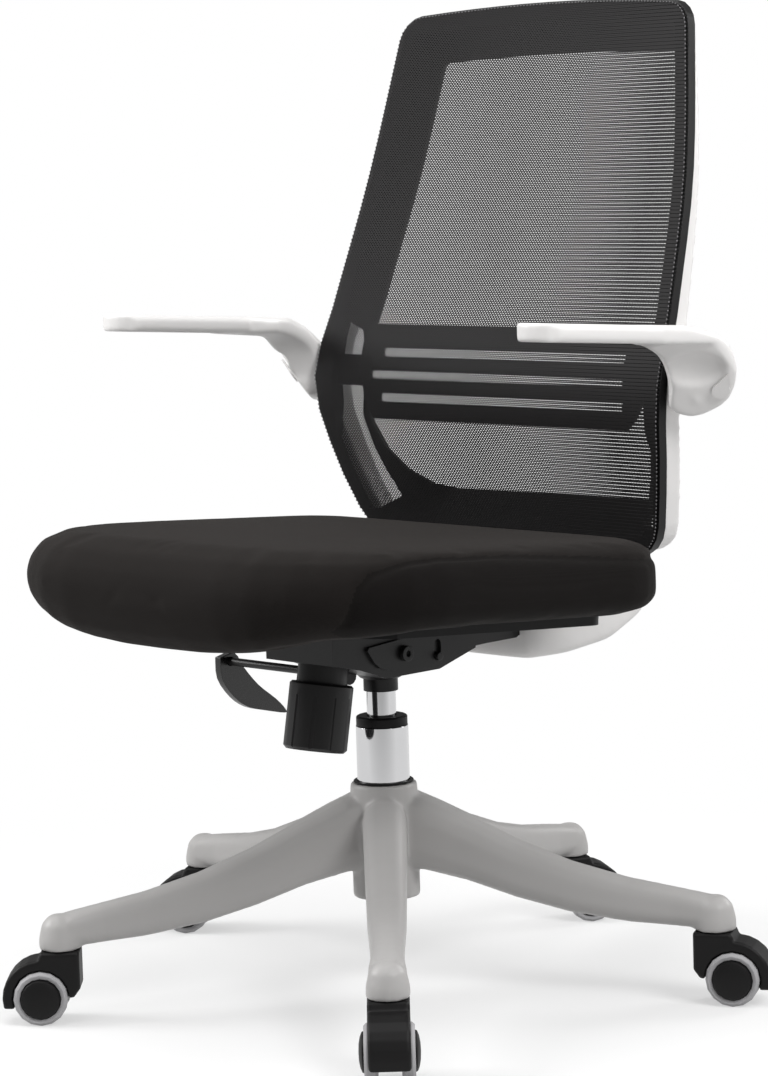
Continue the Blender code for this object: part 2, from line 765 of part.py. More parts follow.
def base_mesh():
    """Return the five-arm base with its hub bore and its sockets."""
    shape = (
        (0.06, 1.00, 1.00, 0.0433),
        (0.13, 0.972, 0.990, 0.0421),
        (0.26, 0.764, 0.809, 0.0402),
        (0.41, 0.508, 0.496, 0.0383),
        (0.57, 0.293, 0.242, 0.0363),
        (0.74, 0.136, 0.091, 0.0316),
        (0.88, 0.050, 0.044, 0.0298),
        (0.98, -0.018, 0.026, 0.0347),
    )
    sections = []
    for share, top_share, bottom_share, width in shape:
        top = SOCKET_TOP + (ARM_ROOT_TOP - SOCKET_TOP) * top_share
        bottom = SOCKET_BOTTOM + 0.0006 + (ARM_ROOT_BOTTOM - SOCKET_BOTTOM) * bottom_share
        block = rounded_block(width / 2, (top - bottom) / 2, 12)
        sections.append([(CASTER_CIRCLE * share, across, (top + bottom) / 2 + up) for across, up in block])
    arm = lofted(sections)
    socket = turned([
        (0, SOCKET_TOP - 0.0008),
        (SOCKET_RADIUS * 0.50, SOCKET_TOP - 0.0030),
        (SOCKET_RADIUS * 0.84, SOCKET_TOP - 0.0105),
        (SOCKET_RADIUS, SOCKET_TOP - 0.0240),
        (SOCKET_RADIUS, SOCKET_BOTTOM),
        (0, SOCKET_BOTTOM),
    ], steps=WHEEL_SIDES)
    socket.transform(Matrix.Translation((CASTER_CIRCLE, 0, 0)))
    hub = turned([
        (0, HUB_TOP),
        (HUB_RADIUS - 0.002, HUB_TOP),
        (HUB_RADIUS, HUB_TOP - 0.002),
        (HUB_RADIUS, HUB_BOTTOM),
        (0, HUB_BOTTOM),
    ])
    seat, above, below = COLUMN_BOTTOM - GAP, HUB_TOP + 0.02, HUB_BOTTOM - 0.02
    bore_top = rod((0, 0, seat), (0, 0, above), COLUMN_RADIUS + GAP, sides=FINE_SIDES)
    bore_foot = rod((0, 0, below), (0, 0, seat + 0.01), COLUMN_RADIUS - COLUMN_WALL - HUB_LEDGE)
    stem_bore = rod(
        (CASTER_CIRCLE, 0, SOCKET_BOTTOM - 0.01),
        (CASTER_CIRCLE, 0, SOCKET_BOTTOM + STEM_IN_SOCKET + GAP),
        STEM_RADIUS + GAP,
    )
    joined, cut = [], [bore_top, bore_foot]
    for angle in arm_angles():
        turn = Matrix.Rotation(angle, 4, "Z")
        joined += [placed(arm, turn), placed(socket, turn)]
        cut.append(placed(stem_bore, turn))
    return shaped(hub, joined, cut)


def arm_angles():
    """Return the directions of the base's arms."""
    return [FIRST_ARM_ANGLE + TURN * i / CASTER_COUNT for i in range(CASTER_COUNT)]


def build_base(root):
    """Make the base and the five casters."""
    hood, axle_pin, hub, tyre = caster_meshes()
    add_part("base", base_mesh(), "white_plastic", root)
    wheel_centre = Matrix.Translation((CASTER_TRAIL, 0, WHEEL_RADIUS))
    for number, (angle, swivel) in enumerate(zip(arm_angles(), CASTER_SWIVELS), 1):
        place = (
            Matrix.Rotation(angle, 4, "Z")
            @ Matrix.Translation((CASTER_CIRCLE, 0, 0))
            @ Matrix.Rotation(swivel, 4, "Z")
        )
        frame = make_frame(f"caster_{number}_frame", root, place)
        name = f"caster_{number}"
        add_part(f"{name}_housing", hood, "black_plastic", frame, Matrix())
        add_part(f"{name}_axle", axle_pin, "steel", frame, Matrix())
        for letter, side in (("l", 1), ("r", -1)):
            outward = Matrix.Rotation(-side * math.pi / 2, 4, "X")
            seat = wheel_centre @ Matrix.Translation((0, side * WHEEL_SPACING / 2, 0)) @ outward
            add_part(f"{name}_hub_{letter}", hub, "black_plastic", frame, seat)
            add_part(f"{name}_tyre_{letter}", tyre, "grey_tyre", frame, seat)


def build_lift(root, spindle, seat):
    """Make the column, its bush, the gas cylinder, the piston rod and the bearing."""
    inner = COLUMN_RADIUS - COLUMN_WALL
    floor = COLUMN_BOTTOM + COLUMN_FLOOR
    rod_bore = PISTON_ROD_RADIUS + RUNNING_GAP
    add_part("lift_column", turned([
        (inner, COLUMN_TOP),
        (COLUMN_RADIUS, COLUMN_TOP),
        (COLUMN_RADIUS, COLUMN_BOTTOM),
        (rod_bore, COLUMN_BOTTOM),
        (rod_bore, floor),
        (inner, floor),
    ], closed=True), "chrome", root)
    bush_bore = CYLINDER_RADIUS + RUNNING_GAP
    add_part("lift_guide_bush", turned([
        (bush_bore, COLLAR_TOP),
        (COLUMN_RADIUS - 0.002, COLLAR_TOP),
        (COLUMN_RADIUS - 0.0005, COLLAR_TOP - 0.0015),
        (COLUMN_RADIUS - 0.0005, COLUMN_TOP + GAP),
        (inner - GAP, COLUMN_TOP + GAP),
        (inner - GAP, COLUMN_TOP - BUSH_LENGTH),
        (bush_bore, COLUMN_TOP - BUSH_LENGTH),
    ], closed=True), "black_plastic", root)
    add_part("lift_thrust_bearing", turned([
        (rod_bore, floor + GAP + BEARING_HEIGHT),
        (BEARING_RADIUS, floor + GAP + BEARING_HEIGHT),
        (BEARING_RADIUS, floor + GAP),
        (rod_bore, floor + GAP),
    ], closed=True, steps=WHEEL_SIDES), "steel", root)
    chamber = CYLINDER_RADIUS - CYLINDER_WALL
    chamber_top = CYLINDER_TOP - CYLINDER_LENGTH * 0.28
    add_part("lift_cylinder", turned([
        (0, CYLINDER_TOP),
        (CYLINDER_RADIUS - 0.001, CYLINDER_TOP),
        (CYLINDER_RADIUS, CYLINDER_TOP - 0.001),
        (CYLINDER_RADIUS, CYLINDER_BOTTOM),
        (rod_bore, CYLINDER_BOTTOM),
        (rod_bore, CYLINDER_BOTTOM + CYLINDER_CAP),
        (chamber, CYLINDER_BOTTOM + CYLINDER_CAP),
        (chamber, chamber_top),
        (0, chamber_top),
    ]), "chrome", seat)
    piston = chamber - RUNNING_GAP
    piston_foot = COLUMN_BOTTOM + PISTON_LEVEL
    shoulder = floor + BEARING_HEIGHT + 2 * GAP
    add_part("lift_piston_rod", turned([
        (0, piston_foot + PISTON_HEIGHT),
        (piston, piston_foot + PISTON_HEIGHT),
        (piston, piston_foot),
        (PISTON_ROD_RADIUS, piston_foot),
        (PISTON_ROD_RADIUS, shoulder + 0.004),
        (PISTON_ROD_RADIUS + 0.003, shoulder + 0.004),
        (PISTON_ROD_RADIUS + 0.003, shoulder),
        (PISTON_ROD_RADIUS, shoulder),
        (PISTON_ROD_RADIUS, COLUMN_BOTTOM - 0.004),
        (0, COLUMN_BOTTOM - 0.004),
    ], steps=WHEEL_SIDES), "steel", spindle)


def side_plate(outline, low, high, holes=()):
    """Return a plate with a (y, z) outline, from x = low to x = high."""
    lie = Matrix(((0, 0, 1, (low + high) / 2), (1, 0, 0, 0), (0, 1, 0, 0), (0, 0, 0, 1)))
    return placed(flat_plate(outline, high - low, holes), lie)


def build_mechanism(seat, back):
    """Make the housing, the recline bracket, its bolts and the stop pin."""
    half = HOUSING_WIDTH / 2
    slope = -math.tan(SEAT_TILT)
    roof = FLANGE_TOP - FLANGE_THICKNESS / 2

    def roof_at(y):
        return roof + slope * y

    belly = HOUSING_BOTTOM + HOUSING_CHAMFER
    body = side_plate([
        (-HOUSING_FRONT, roof_at(-HOUSING_FRONT)),
        (-HOUSING_FRONT, belly + 0.008),
        (-HOUSING_FRONT + 0.035, belly),
        (-LEVER_FORWARD + 0.004, HOUSING_BOTTOM),
        (FLARE_RADIUS + 0.010, HOUSING_BOTTOM),
        (HOUSING_REAR, belly + 0.002),
        (HOUSING_REAR, roof_at(HOUSING_REAR)),
    ], -half, half)
    flange = box((-FLANGE_WIDTH / 2, -FLANGE_FRONT, -FLANGE_THICKNESS), (FLANGE_WIDTH / 2, FLANGE_REAR, 0))
    flange.transform(seat_place() @ Matrix.Translation((0, 0, -GAP)))
    socket = turned([
        (0, HOUSING_BOTTOM + 0.010),
        (FLARE_RADIUS, HOUSING_BOTTOM + 0.010),
        (FLARE_RADIUS, HOUSING_BOTTOM - 0.001),
        (SLEEVE_RADIUS + 0.003, FLARE_BOTTOM + 0.001),
        (SLEEVE_RADIUS, FLARE_BOTTOM),
        (SLEEVE_RADIUS, SLEEVE_BOTTOM),
        (0, SLEEVE_BOTTOM),
    ])
    tension = tension_place()
    tube = placed(rod((0, 0, -SPRING_TUBE_DROP), (0, 0, 0.008), SPRING_TUBE_RADIUS, FINE_SIDES), tension)
    tube_bore = rod((0, 0, -SPRING_TUBE_DROP - 0.02), (0, 0, SPRING_BORE_TOP), SPRING_BORE, FINE_SIDES)
    lever_boss = rod(LEVER_AXIS, LEVER_AXIS - Vector((LEVER_BOSS_REACH, 0, 0)), LEVER_BOSS_RADIUS)
    lever_inner = LEVER_AXIS - Vector((LEVER_DEPTH - GAP, 0, 0))
    lever_outer = LEVER_AXIS - Vector((LEVER_BOSS_REACH + 0.02, 0, 0))
    cut = [
        placed(tube_bore, tension),
        rod((0, 0, SLEEVE_BOTTOM - 0.02), (0, 0, CYLINDER_TOP + GAP), CYLINDER_RADIUS + GAP, FINE_SIDES),
        rod(lever_inner, lever_outer, LEVER_RADIUS + GAP),
    ]
    pin = RECLINE_AXLE + Vector((0, STOP_PIN_BEHIND, -STOP_PIN_BELOW))
    across = Vector((half + 0.02, 0, 0))
    cut.append(rod(pin - across, pin + across, STOP_PIN_RADIUS + GAP))
    cut.append(rod(RECLINE_AXLE - across, RECLINE_AXLE + across, RECLINE_BOLT_RADIUS + GAP))
    under_head = Vector((PLATE_OUTER + GAP, 0, 0))
    overlap = Vector((0.001, 0, 0))
    reach = under_head + overlap
    shank = rod(RECLINE_AXLE - reach, RECLINE_AXLE + reach, RECLINE_BOLT_RADIUS)
    heads, keys = [], []
    for side in (-1, 1):
        seat_face = RECLINE_AXLE + side * under_head
        head_end = seat_face + Vector((side * BOLT_HEAD_HEIGHT, 0, 0))
        key_depth = Vector((side * BOLT_HEAD_HEIGHT * 0.6, 0, 0))
        heads.append(rod(seat_face, head_end, BOLT_HEAD_RADIUS))
        keys.append(rod(head_end - key_depth, head_end + key_depth, RECLINE_BOLT_RADIUS * 0.8, 6))
    for x, y in seat_bolt_places():
        stud_hole = rod((x, y, -0.02), (x, y, 0.02), SEAT_BOLT_RADIUS + BOLT_GAP, 10)
        cut.append(placed(stud_hole, seat_place()))
    housing = shaped(body, [flange, socket, tube, lever_boss], cut)
    add_part("mechanism_housing", housing, "black_steel", seat)
    add_part("recline_axle", shaped(shank, heads, keys), "black_steel", seat)
    pin_reach = Vector((PLATE_OUTER + STOP_PIN_PROUD, 0, 0))
    add_part("stop_pin", rod(pin - pin_reach, pin + pin_reach, STOP_PIN_RADIUS), "steel", seat)
    add_part("recline_bracket", bracket_mesh(), "black_steel", back)


def slot_outline(centre, radius, start, end, half):
    """Return the outline of a round-ended slot along an arc."""
    tip = (centre[0] + radius * math.cos(end), centre[1] + radius * math.sin(end))
    tail = (centre[0] + radius * math.cos(start), centre[1] + radius * math.sin(start))
    outline = arc(centre, radius + half, start, end, 5)
    outline += arc(tip, half, end, end + math.pi, 7)[1:-1]
    outline += arc(centre, radius - half, end, start, 5)
    outline += arc(tail, half, start + math.pi, start + TURN, 7)[1:-1]
    return outline


def bracket_mesh():
    """Return the two side plates and the tongue that carry the back."""
    axle_y, axle_z = RECLINE_AXLE.y, RECLINE_AXLE.z
    foot_front = axle_y + FRAME_FOOT_BEHIND
    outline = smooth_run([
        (axle_y - 0.048, axle_z + 0.008),
        (axle_y - 0.0315, axle_z - 0.0104),
        (axle_y + 0.008, axle_z - 0.0165),
        (axle_y + 0.039, axle_z - 0.0177),
        (axle_y + 0.060, axle_z - 0.0110),
        (axle_y + 0.086, axle_z - 0.0052),
        (foot_front - 0.004, axle_z - 0.0042),
    ], 3)
    outline += [
        (foot_front - RUNNING_GAP, axle_z - 0.002),
        (foot_front - RUNNING_GAP, axle_z + 0.0125),
        (axle_y + 0.039, axle_z + 0.017),
        (axle_y - 0.046, axle_z + 0.0105),
    ]
    bolt_hole = arc((axle_y, axle_z), RECLINE_BOLT_RADIUS + BOLT_GAP, 0, TURN * 15 / 16, 16)
    reach = math.hypot(STOP_PIN_BEHIND, STOP_PIN_BELOW)
    rest = -math.atan2(STOP_PIN_BELOW, STOP_PIN_BEHIND)
    slot = slot_outline((axle_y, axle_z), reach, rest, rest + RECLINE_RANGE, STOP_PIN_RADIUS + BOLT_GAP)
    plates = [
        side_plate(outline, *sorted((side * PLATE_INNER, side * PLATE_OUTER)), holes=(bolt_hole, slot))
        for side in (-1, 1)
    ]
    level = axle_z + TONGUE_THICKNESS / 2
    tongue = box(
        (-PLATE_OUTER, foot_front - 0.035, level - TONGUE_THICKNESS),
        (PLATE_OUTER, foot_front + TONGUE_LENGTH, level),
    )
    holes = [
        rod((x, y, level - 0.02), (x, y, level + 0.02), BACK_BOLT_RADIUS + BOLT_GAP, 10)
        for x, y in back_bolt_places()
    ]
    return shaped(tongue, plates, holes)


def back_bolt_places():
    """Return the places of the bolts that hold the foot to the bracket."""
    first = RECLINE_AXLE.y + FRAME_FOOT_BEHIND + TONGUE_LENGTH / 2
    return [
        (side * BACK_BOLT_SPREAD, first + end * BACK_BOLT_PITCH / 2)
        for side in (-1, 1)
        for end in (-1, 1)
    ]


def tension_place():
    """Return the place of the tension axis, with its own Z along the spring."""
    return Matrix.Translation(TENSION_ANCHOR) @ Matrix.Rotation(-TENSION_TILT, 4, "X")


def spring_mesh(low):
    """Return the tension spring as one tube, and print its least gap to itself."""
    per_turn = 10
    count = SPRING_TURNS * per_turn
    rise = SPRING_LENGTH - 2 * SPRING_WIRE
    points = []
    for i in range(count + 1):
        angle = TURN * i / per_turn
        height = low + SPRING_WIRE + rise * i / count
        points.append(Vector((SPRING_RADIUS * math.cos(angle), SPRING_RADIUS * math.sin(angle), height)))
    gap = min(
        (points[i] - points[j]).length
        for i in range(len(points))
        for j in range(i + per_turn // 2, len(points))
    )
    print(f"tension spring: least gap to itself {1000 * (gap - 2 * SPRING_WIRE):.2f} mm")
    return round_tube(points, SPRING_WIRE)


def build_tension(knob_frame, plate_frame):
    """Make the tension knob, its bolt, the spring and the pressure plate."""
    place = tension_place()
    spring_top = SPRING_BORE_TOP - GAP
    spring_low = spring_top - SPRING_LENGTH
    plate_top = spring_low - GAP
    plate_bore = TENSION_BOLT_RADIUS + RUNNING_GAP
    plate_edge = SPRING_BORE - RUNNING_GAP
    plate = turned([
        (plate_bore, plate_top),
        (plate_edge, plate_top),
        (plate_edge, plate_top - PRESSURE_PLATE_THICKNESS),
        (plate_bore, plate_top - PRESSURE_PLATE_THICKNESS),
    ], closed=True, steps=20)
    add_part("tension_plate", placed(plate, place), "steel", plate_frame)
    add_part("tension_spring", placed(spring_mesh(spring_low), place), "steel", plate_frame)

    knob_floor = -SPRING_TUBE_DROP - RUNNING_GAP
    knob_top = knob_floor + KNOB_LIP
    knob_bottom = knob_top - KNOB_LENGTH
    bolt_foot = knob_bottom + 0.012
    lip_radius = SPRING_TUBE_RADIUS + RUNNING_GAP
    bolt_bore = TENSION_BOLT_RADIUS + GAP
    knob = turned([
        (lip_radius, knob_top),
        (KNOB_RADIUS - 0.002, knob_top),
        (KNOB_RADIUS, knob_top - 0.002),
        (KNOB_RADIUS, knob_bottom + 0.003),
        (KNOB_RADIUS - 0.003, knob_bottom),
        (0, knob_bottom),
        (0, bolt_foot - GAP),
        (bolt_bore, bolt_foot - GAP),
        (bolt_bore, knob_floor),
        (lip_radius, knob_floor),
    ], closed=True, steps=FINE_SIDES)
    grooves = []
    centre = KNOB_RADIUS + KNOB_GROOVE_RADIUS - KNOB_GROOVE_DEPTH
    for i in range(KNOB_GROOVES):
        angle = TURN * (i + 0.5) / KNOB_GROOVES
        x, y = centre * math.cos(angle), centre * math.sin(angle)
        grooves.append(rod((x, y, knob_bottom - 0.01), (x, y, knob_top - 0.012), KNOB_GROOVE_RADIUS, 6))
    knob = shaped(knob, cut=grooves)
    add_part("tension_knob", placed(knob, place), "black_plastic", knob_frame)
    bolt = rod((0, 0, bolt_foot), (0, 0, spring_top - 0.004), TENSION_BOLT_RADIUS, 12)
    add_part("tension_bolt", placed(bolt, place), "steel", knob_frame)


def build_lever(frame):
    """Make the height lever's rod and its paddle."""
    start = LEVER_AXIS - Vector((LEVER_DEPTH, 0, 0))
    end = LEVER_AXIS - Vector((LEVER_REACH, 0, 0))
    add_part("lever_rod", rod(start, end, LEVER_RADIUS, 12), "black_steel", frame)
    y, z = LEVER_AXIS.y, LEVER_AXIS.z
    outline = smooth_run([
        (y - 0.013, z + 0.005),
        (y - 0.0115, z - 0.016),
        (y + 0.004, z - 0.036),
        (y + 0.0225, z - 0.0480),
        (y + 0.046, z - 0.0545),
        (y + 0.0705, z - 0.0600),
        (y + 0.0710, z - 0.0560),
        (y + 0.059, z - 0.0445),
        (y + 0.036, z - 0.0275),
        (y + 0.0175, z - 0.008),
        (y + 0.006, z + 0.0075),
        (y - 0.013, z + 0.005),
    ], 3)[:-1]
    low = -LEVER_REACH - PADDLE_THICKNESS / 2
    paddle = side_plate(outline, low, low + PADDLE_THICKNESS)
    bore = rod(end - Vector((GAP, 0, 0)), end + Vector((0.02, 0, 0)), LEVER_RADIUS + GAP)
    add_part("lever_paddle", shaped(paddle, cut=[bore]), "black_plastic", frame)


def seat_place():
    """Return the seat's own place: the underside of the pan, tilted to the rear."""
    return Matrix.Translation((0, 0, SEAT_LEVEL)) @ Matrix.Rotation(-SEAT_TILT, 4, "X")


def seat_bolt_places():
    """Return the places of the seat bolts on the flange."""
    rows = (SEAT_BOLT_MARGIN - FLANGE_FRONT, FLANGE_REAR - SEAT_BOLT_MARGIN)
    return [(side * SEAT_BOLT_SPREAD, y) for side in (-1, 1) for y in rows]


def nose_outline(side_inset, front_inset, side_points=3):
    """Return the cushion's outline with its own front inset, and how far to the front each point is."""
    edge = seat_outline(0.0, side_points=side_points)
    sides = seat_outline(side_inset, side_points=side_points)
    fronts = seat_outline(front_inset, side_points=side_points)
    points = []
    for outer, side, front in zip(edge, sides, fronts):
        share = min(max((-outer[1] - CUSHION_NOSE_START) / (CUSHION_FRONT - CUSHION_NOSE_START), 0.0), 1.0)
        share = share * share * (3 - 2 * share)
        x = side[0] + (front[0] - side[0]) * share
        y = side[1] + (front[1] - side[1]) * share
        points.append((x, y, share))
    return points


def cushion_mesh():
    """Return the cushion: a rim that wraps the pan, a rounded nose, drawn-in sides and a crowned top."""
    roof, crown = CUSHION_HEIGHT, CUSHION_CROWN
    rise, drop = CUSHION_SIDE_RISE, -CUSHION_FRONT_DROP
    bed = PAN_THICKNESS + GAP
    wrap, nose_wrap = PAN_INSET - RUNNING_GAP, PAN_FRONT_INSET - RUNNING_GAP
    # Insets at the side and front, then heights at the side, front and corner, from the bed to the crown
    rings = (
        (PAN_INSET + 0.080, PAN_FRONT_INSET + 0.060, bed, bed, bed),
        (wrap, nose_wrap, bed, bed, bed),
        (wrap - 0.002, nose_wrap - 0.004, rise + 0.001, drop + 0.006, drop + 0.020),
        (wrap * 0.60, nose_wrap * 0.62, rise, drop + 0.001, drop + 0.017),
        (wrap * 0.22, 0.030, rise + 0.003, drop, drop + 0.018),
        (0.0025, 0.013, rise + 0.012, drop + 0.011, drop + 0.028),
        (0.0, 0.0035, 0.38 * roof, 0.20 * roof, 0.28 * roof),
        (0.0010, 0.0, 0.57 * roof, 0.46 * roof, 0.47 * roof),
        (0.0015, 0.0045, 0.73 * roof, 0.67 * roof, 0.68 * roof),
        (0.0060, 0.016, 0.90 * roof, 0.865 * roof, 0.865 * roof),
        (0.0180, 0.038, 0.985 * roof, 0.985 * roof, 0.985 * roof),
        (0.0480, 0.080, roof + 0.45 * crown, roof + 0.25 * crown, roof + 0.25 * crown),
        (0.1050, 0.140, roof + 0.82 * crown, roof + 0.70 * crown, roof + 0.70 * crown),
        (0.1750, 0.185, roof + crown, roof + crown, roof + crown),
    )
    sections = []
    for side_inset, front_inset, side, front, corner in rings:
        section = []
        for x, y, share in nose_outline(side_inset, front_inset):
            outward = min(abs(x) / (CUSHION_CORNER_SHARE * (CUSHION_HALF_WIDTH - front_inset)), 1.0)
            nose = front + (corner - front) * outward**3
            section.append((x, y, side + (nose - side) * share))
        sections.append(section)
    return lofted(sections)


def build_seat(seat):
    """Make the pan, the cushion and the stud plate that holds the pan to the flange."""
    place = seat_place()
    outline = [(x, y) for x, y, _ in nose_outline(PAN_INSET, PAN_FRONT_INSET, side_points=0)]
    pan = flat_plate(outline, PAN_THICKNESS)
    pan.transform(Matrix.Translation((0, 0, PAN_THICKNESS / 2)))
    reach = SEAT_BOLT_SPREAD + SEAT_BOLT_MARGIN / 2
    front, rear = SEAT_BOLT_MARGIN / 2 - FLANGE_FRONT, FLANGE_REAR - SEAT_BOLT_MARGIN / 2
    plate = box((-reach, front, 0), (reach, rear, STUD_PLATE_THICKNESS))
    recess = box((-reach - GAP, front - GAP, -0.01), (reach + GAP, rear + GAP, STUD_PLATE_THICKNESS + GAP))
    under = -FLANGE_THICKNESS - 2 * GAP
    studs = []
    for x, y in seat_bolt_places():
        studs.append(rod((x, y, under - 0.001), (x, y, STUD_PLATE_THICKNESS / 2), SEAT_BOLT_RADIUS, 10))
        studs.append(rod((x, y, under - 0.0035), (x, y, under), 2 * SEAT_BOLT_RADIUS, 12))
    add_part("seat_pan", placed(shaped(pan, cut=[recess]), place), "black_plastic", seat)
    add_part("seat_cushion", placed(cushion_mesh(), place), "seat_fabric", seat)
    add_part("seat_stud_plate", placed(shaped(plate, studs), place), "steel", seat)


def mesh_frame_mesh():
    """Return the black dished ring that the mesh is stretched on."""
    lean = RIM_WIDTH + FLANGE_LEAN
    corner = (WINDOW_CORNER_WIDTH, WINDOW_CORNER_HEIGHT)

    def deep(height):
        return dish_depth(height) + DISH_WALL

    loops = [
        back_loop(0.0, 0.0, 0.0, 0.0),
        back_loop(RIM_WIDTH, RIM_WIDTH, RIM_WIDTH, 0.0, straight=True),
        back_loop(lean, TOP_BAND, FOOT_BAND, dish_depth, foot_corner=corner),
        back_loop(lean - 0.001, TOP_BAND - 0.001, FOOT_BAND - 0.001, deep, foot_corner=corner),
        back_loop(RIM_WIDTH - 0.0005, RIM_WIDTH - 0.0005, RIM_WIDTH - 0.0005, RIM_DEPTH, straight=True),
        back_loop(0.0, 0.0, 0.0, RIM_DEPTH),
    ]
    low, high = LUMBAR_LEVEL - CRESCENT_BELOW, LUMBAR_LEVEL + CRESCENT_ABOVE
    outer, inner = [], []
    for i in range(CRESCENT_STEPS + 1):
        height = low + (high - low) * i / CRESCENT_STEPS
        bulge = math.sin(math.pi * i / CRESCENT_STEPS) ** 0.2
        edge = rim_limit(height, RIM_WIDTH) - CRESCENT_MARGIN
        below_clips = min(max((LUMBAR_LEVEL - CRESCENT_CLIPS - height) / CRESCENT_CLIPS, 0.0), 0.5) * 2
        outer.append((edge + (half_width(height) - CRESCENT_RIM - edge) * below_clips, height))
        width = CRESCENT_WIDTH + 0.35 * (dish_depth(height) - DISH_DEPTH)
        inner.append((edge - 0.001 - width * bulge, height))
    outline = outer + inner[::-1]
    depth = BACK_STATIONS[LUMBAR_STATION_COUNT][1] + RECLINE_AXLE.y
    stand = Matrix(((1, 0, 0, 0), (0, 0, -1, depth + 0.02), (0, 1, 0, 0), (0, 0, 0, 1)))
    cut = placed(flat_plate(outline, 0.14), stand)
    mirror = Matrix.Diagonal((-1, 1, 1, 1))
    return shaped(lofted(loops, round_trip=True), cut=[cut, placed(cut, mirror)])


def back_mesh_sheet():
    """Return the stretched mesh as a thin plain sheet in front of the rim."""
    loop = back_loop(MESH_BORDER, MESH_BORDER, MESH_BORDER, 0.0)
    first_row, last_row = LOOP_EDGE_POINTS, len(loop) // 2 - LOOP_EDGE_POINTS + 1
    columns = 8
    bm = bmesh.new()
    rows = []
    for x, _, height in loop[first_row:last_row]:
        row = []
        for i in range(columns + 1):
            across = x * (2 * i / columns - 1)
            share = across / half_width(height)
            crown = BACK_TOP_CROWN * (1 - share * share) * back_height_share(height) ** 2
            crown -= BACK_TOP_CROWN * (1 - (x / half_width(height)) ** 2) * back_height_share(height) ** 2
            depth = front_depth(across, height) - MESH_THICKNESS / 2 - 2 * GAP
            row.append(bm.verts.new((across, depth, height + crown)))
        rows.append(row)
    for first, second in zip(rows, rows[1:]):
        for i in range(columns):
            bm.faces.new((first[i], first[i + 1], second[i + 1], second[i]))
    item = workpiece(finished(bm))
    shell = item.modifiers.new("thickness", "SOLIDIFY")
    shell.thickness = MESH_THICKNESS
    shell.offset = 0
    return evaluated_mesh(item)


def foot_mesh():
    """Return the foot that runs from under the seat up to the ring."""
    path = [(RECLINE_AXLE.y + behind, RECLINE_AXLE.z + up) for behind, up, _, _ in FOOT_STATIONS]
    sections = []
    for i, (y, z) in enumerate(path):
        before, after = path[max(i - 1, 0)], path[min(i + 1, len(path) - 1)]
        along = Vector((after[0] - before[0], after[1] - before[1])).normalized()
        if i == 0:
            along = Vector((1, 0))
        normal = Vector((-along.y, along.x))
        thick, wide = FOOT_STATIONS[i][2:]
        block = rounded_block(wide, thick, 20, 4.5)
        sections.append([(across, y + normal.x * up, z + normal.y * up) for across, up in block])
    return lofted(sections)


def frame_mesh():
    """Return the white back frame: a ring behind the rim, the foot, the arm bosses and the tongue slot."""
    front = RIM_DEPTH + FRAME_SEAT_GAP
    outer, depth = between(FRAME_INSET, FRAME_TOP_INSET), between(FRAME_DEPTH, FRAME_TOP_DEPTH)
    inner = FRAME_INNER_INSET
    ring = lofted([
        back_loop(outer, FRAME_TOP_INSET, FRAME_INSET, front),
        back_loop(inner, inner, inner, front),
        back_loop(inner, inner, inner, depth),
        back_loop(outer, FRAME_TOP_INSET, FRAME_INSET, depth),
    ], round_trip=True)
    pivot = pivot_place()
    bosses, cut = [], []
    reach = boss_reach()
    for side in (-1, 1):
        inside = Vector((side * (reach - PIVOT_BOSS_LENGTH), pivot.y, pivot.z))
        outside = Vector((side * reach, pivot.y, pivot.z))
        bosses.append(rod(inside, outside, PIVOT_BOSS_RADIUS))
        bore_start = inside + Vector((side * 0.002, 0, 0))
        bore_end = outside + Vector((side * 0.010, 0, 0))
        cut.append(rod(bore_start, bore_end, PIVOT_RADIUS + GAP))
    foot_front = RECLINE_AXLE.y + FRAME_FOOT_BEHIND
    room = FOOT_SLOT_CLEARANCE
    level = RECLINE_AXLE.z + TONGUE_THICKNESS / 2
    cut.append(box(
        (-PLATE_OUTER - room, foot_front - 0.02, level - TONGUE_THICKNESS - room),
        (PLATE_OUTER + room, foot_front + TONGUE_LENGTH + room, level + room),
    ))
    low, high = clamp_corners()
    cut.append(box(low - Vector((GAP, GAP, 0.02)), high + Vector((GAP, GAP, GAP))))
    for x, y in back_bolt_places():
        cut.append(rod((x, y, low.z), (x, y, level + 0.007), BACK_BOLT_RADIUS + BOLT_GAP, 10))
    return shaped(foot_mesh(), [ring, *bosses], cut)


def clamp_corners():
    """Return the corners of the clamp plate sunk in the foot's underside."""
    _, up, thick, _ = FOOT_STATIONS[2]
    low = RECLINE_AXLE.z + up - thick + CLAMP_SINK
    places = back_bolt_places()
    reach = BACK_BOLT_SPREAD + CLAMP_MARGIN
    front = min(y for _, y in places) - CLAMP_MARGIN
    rear = max(y for _, y in places) + CLAMP_MARGIN
    return Vector((-reach, front, low)), Vector((reach, rear, low + CLAMP_THICKNESS))


def pivot_place():
    """Return the middle of the arms' pivot axis."""
    front = RECLINE_AXLE.y + BACK_STATIONS[LUMBAR_STATION_COUNT][1]
    return Vector((0, front + PIVOT_BEHIND, LUMBAR_LEVEL + PIVOT_RISE))


def boss_reach():
    """Return how far out the frame's arm bosses stand."""
    return BACK_STATIONS[LUMBAR_STATION_COUNT][2] + PIVOT_BOSS_PROUD


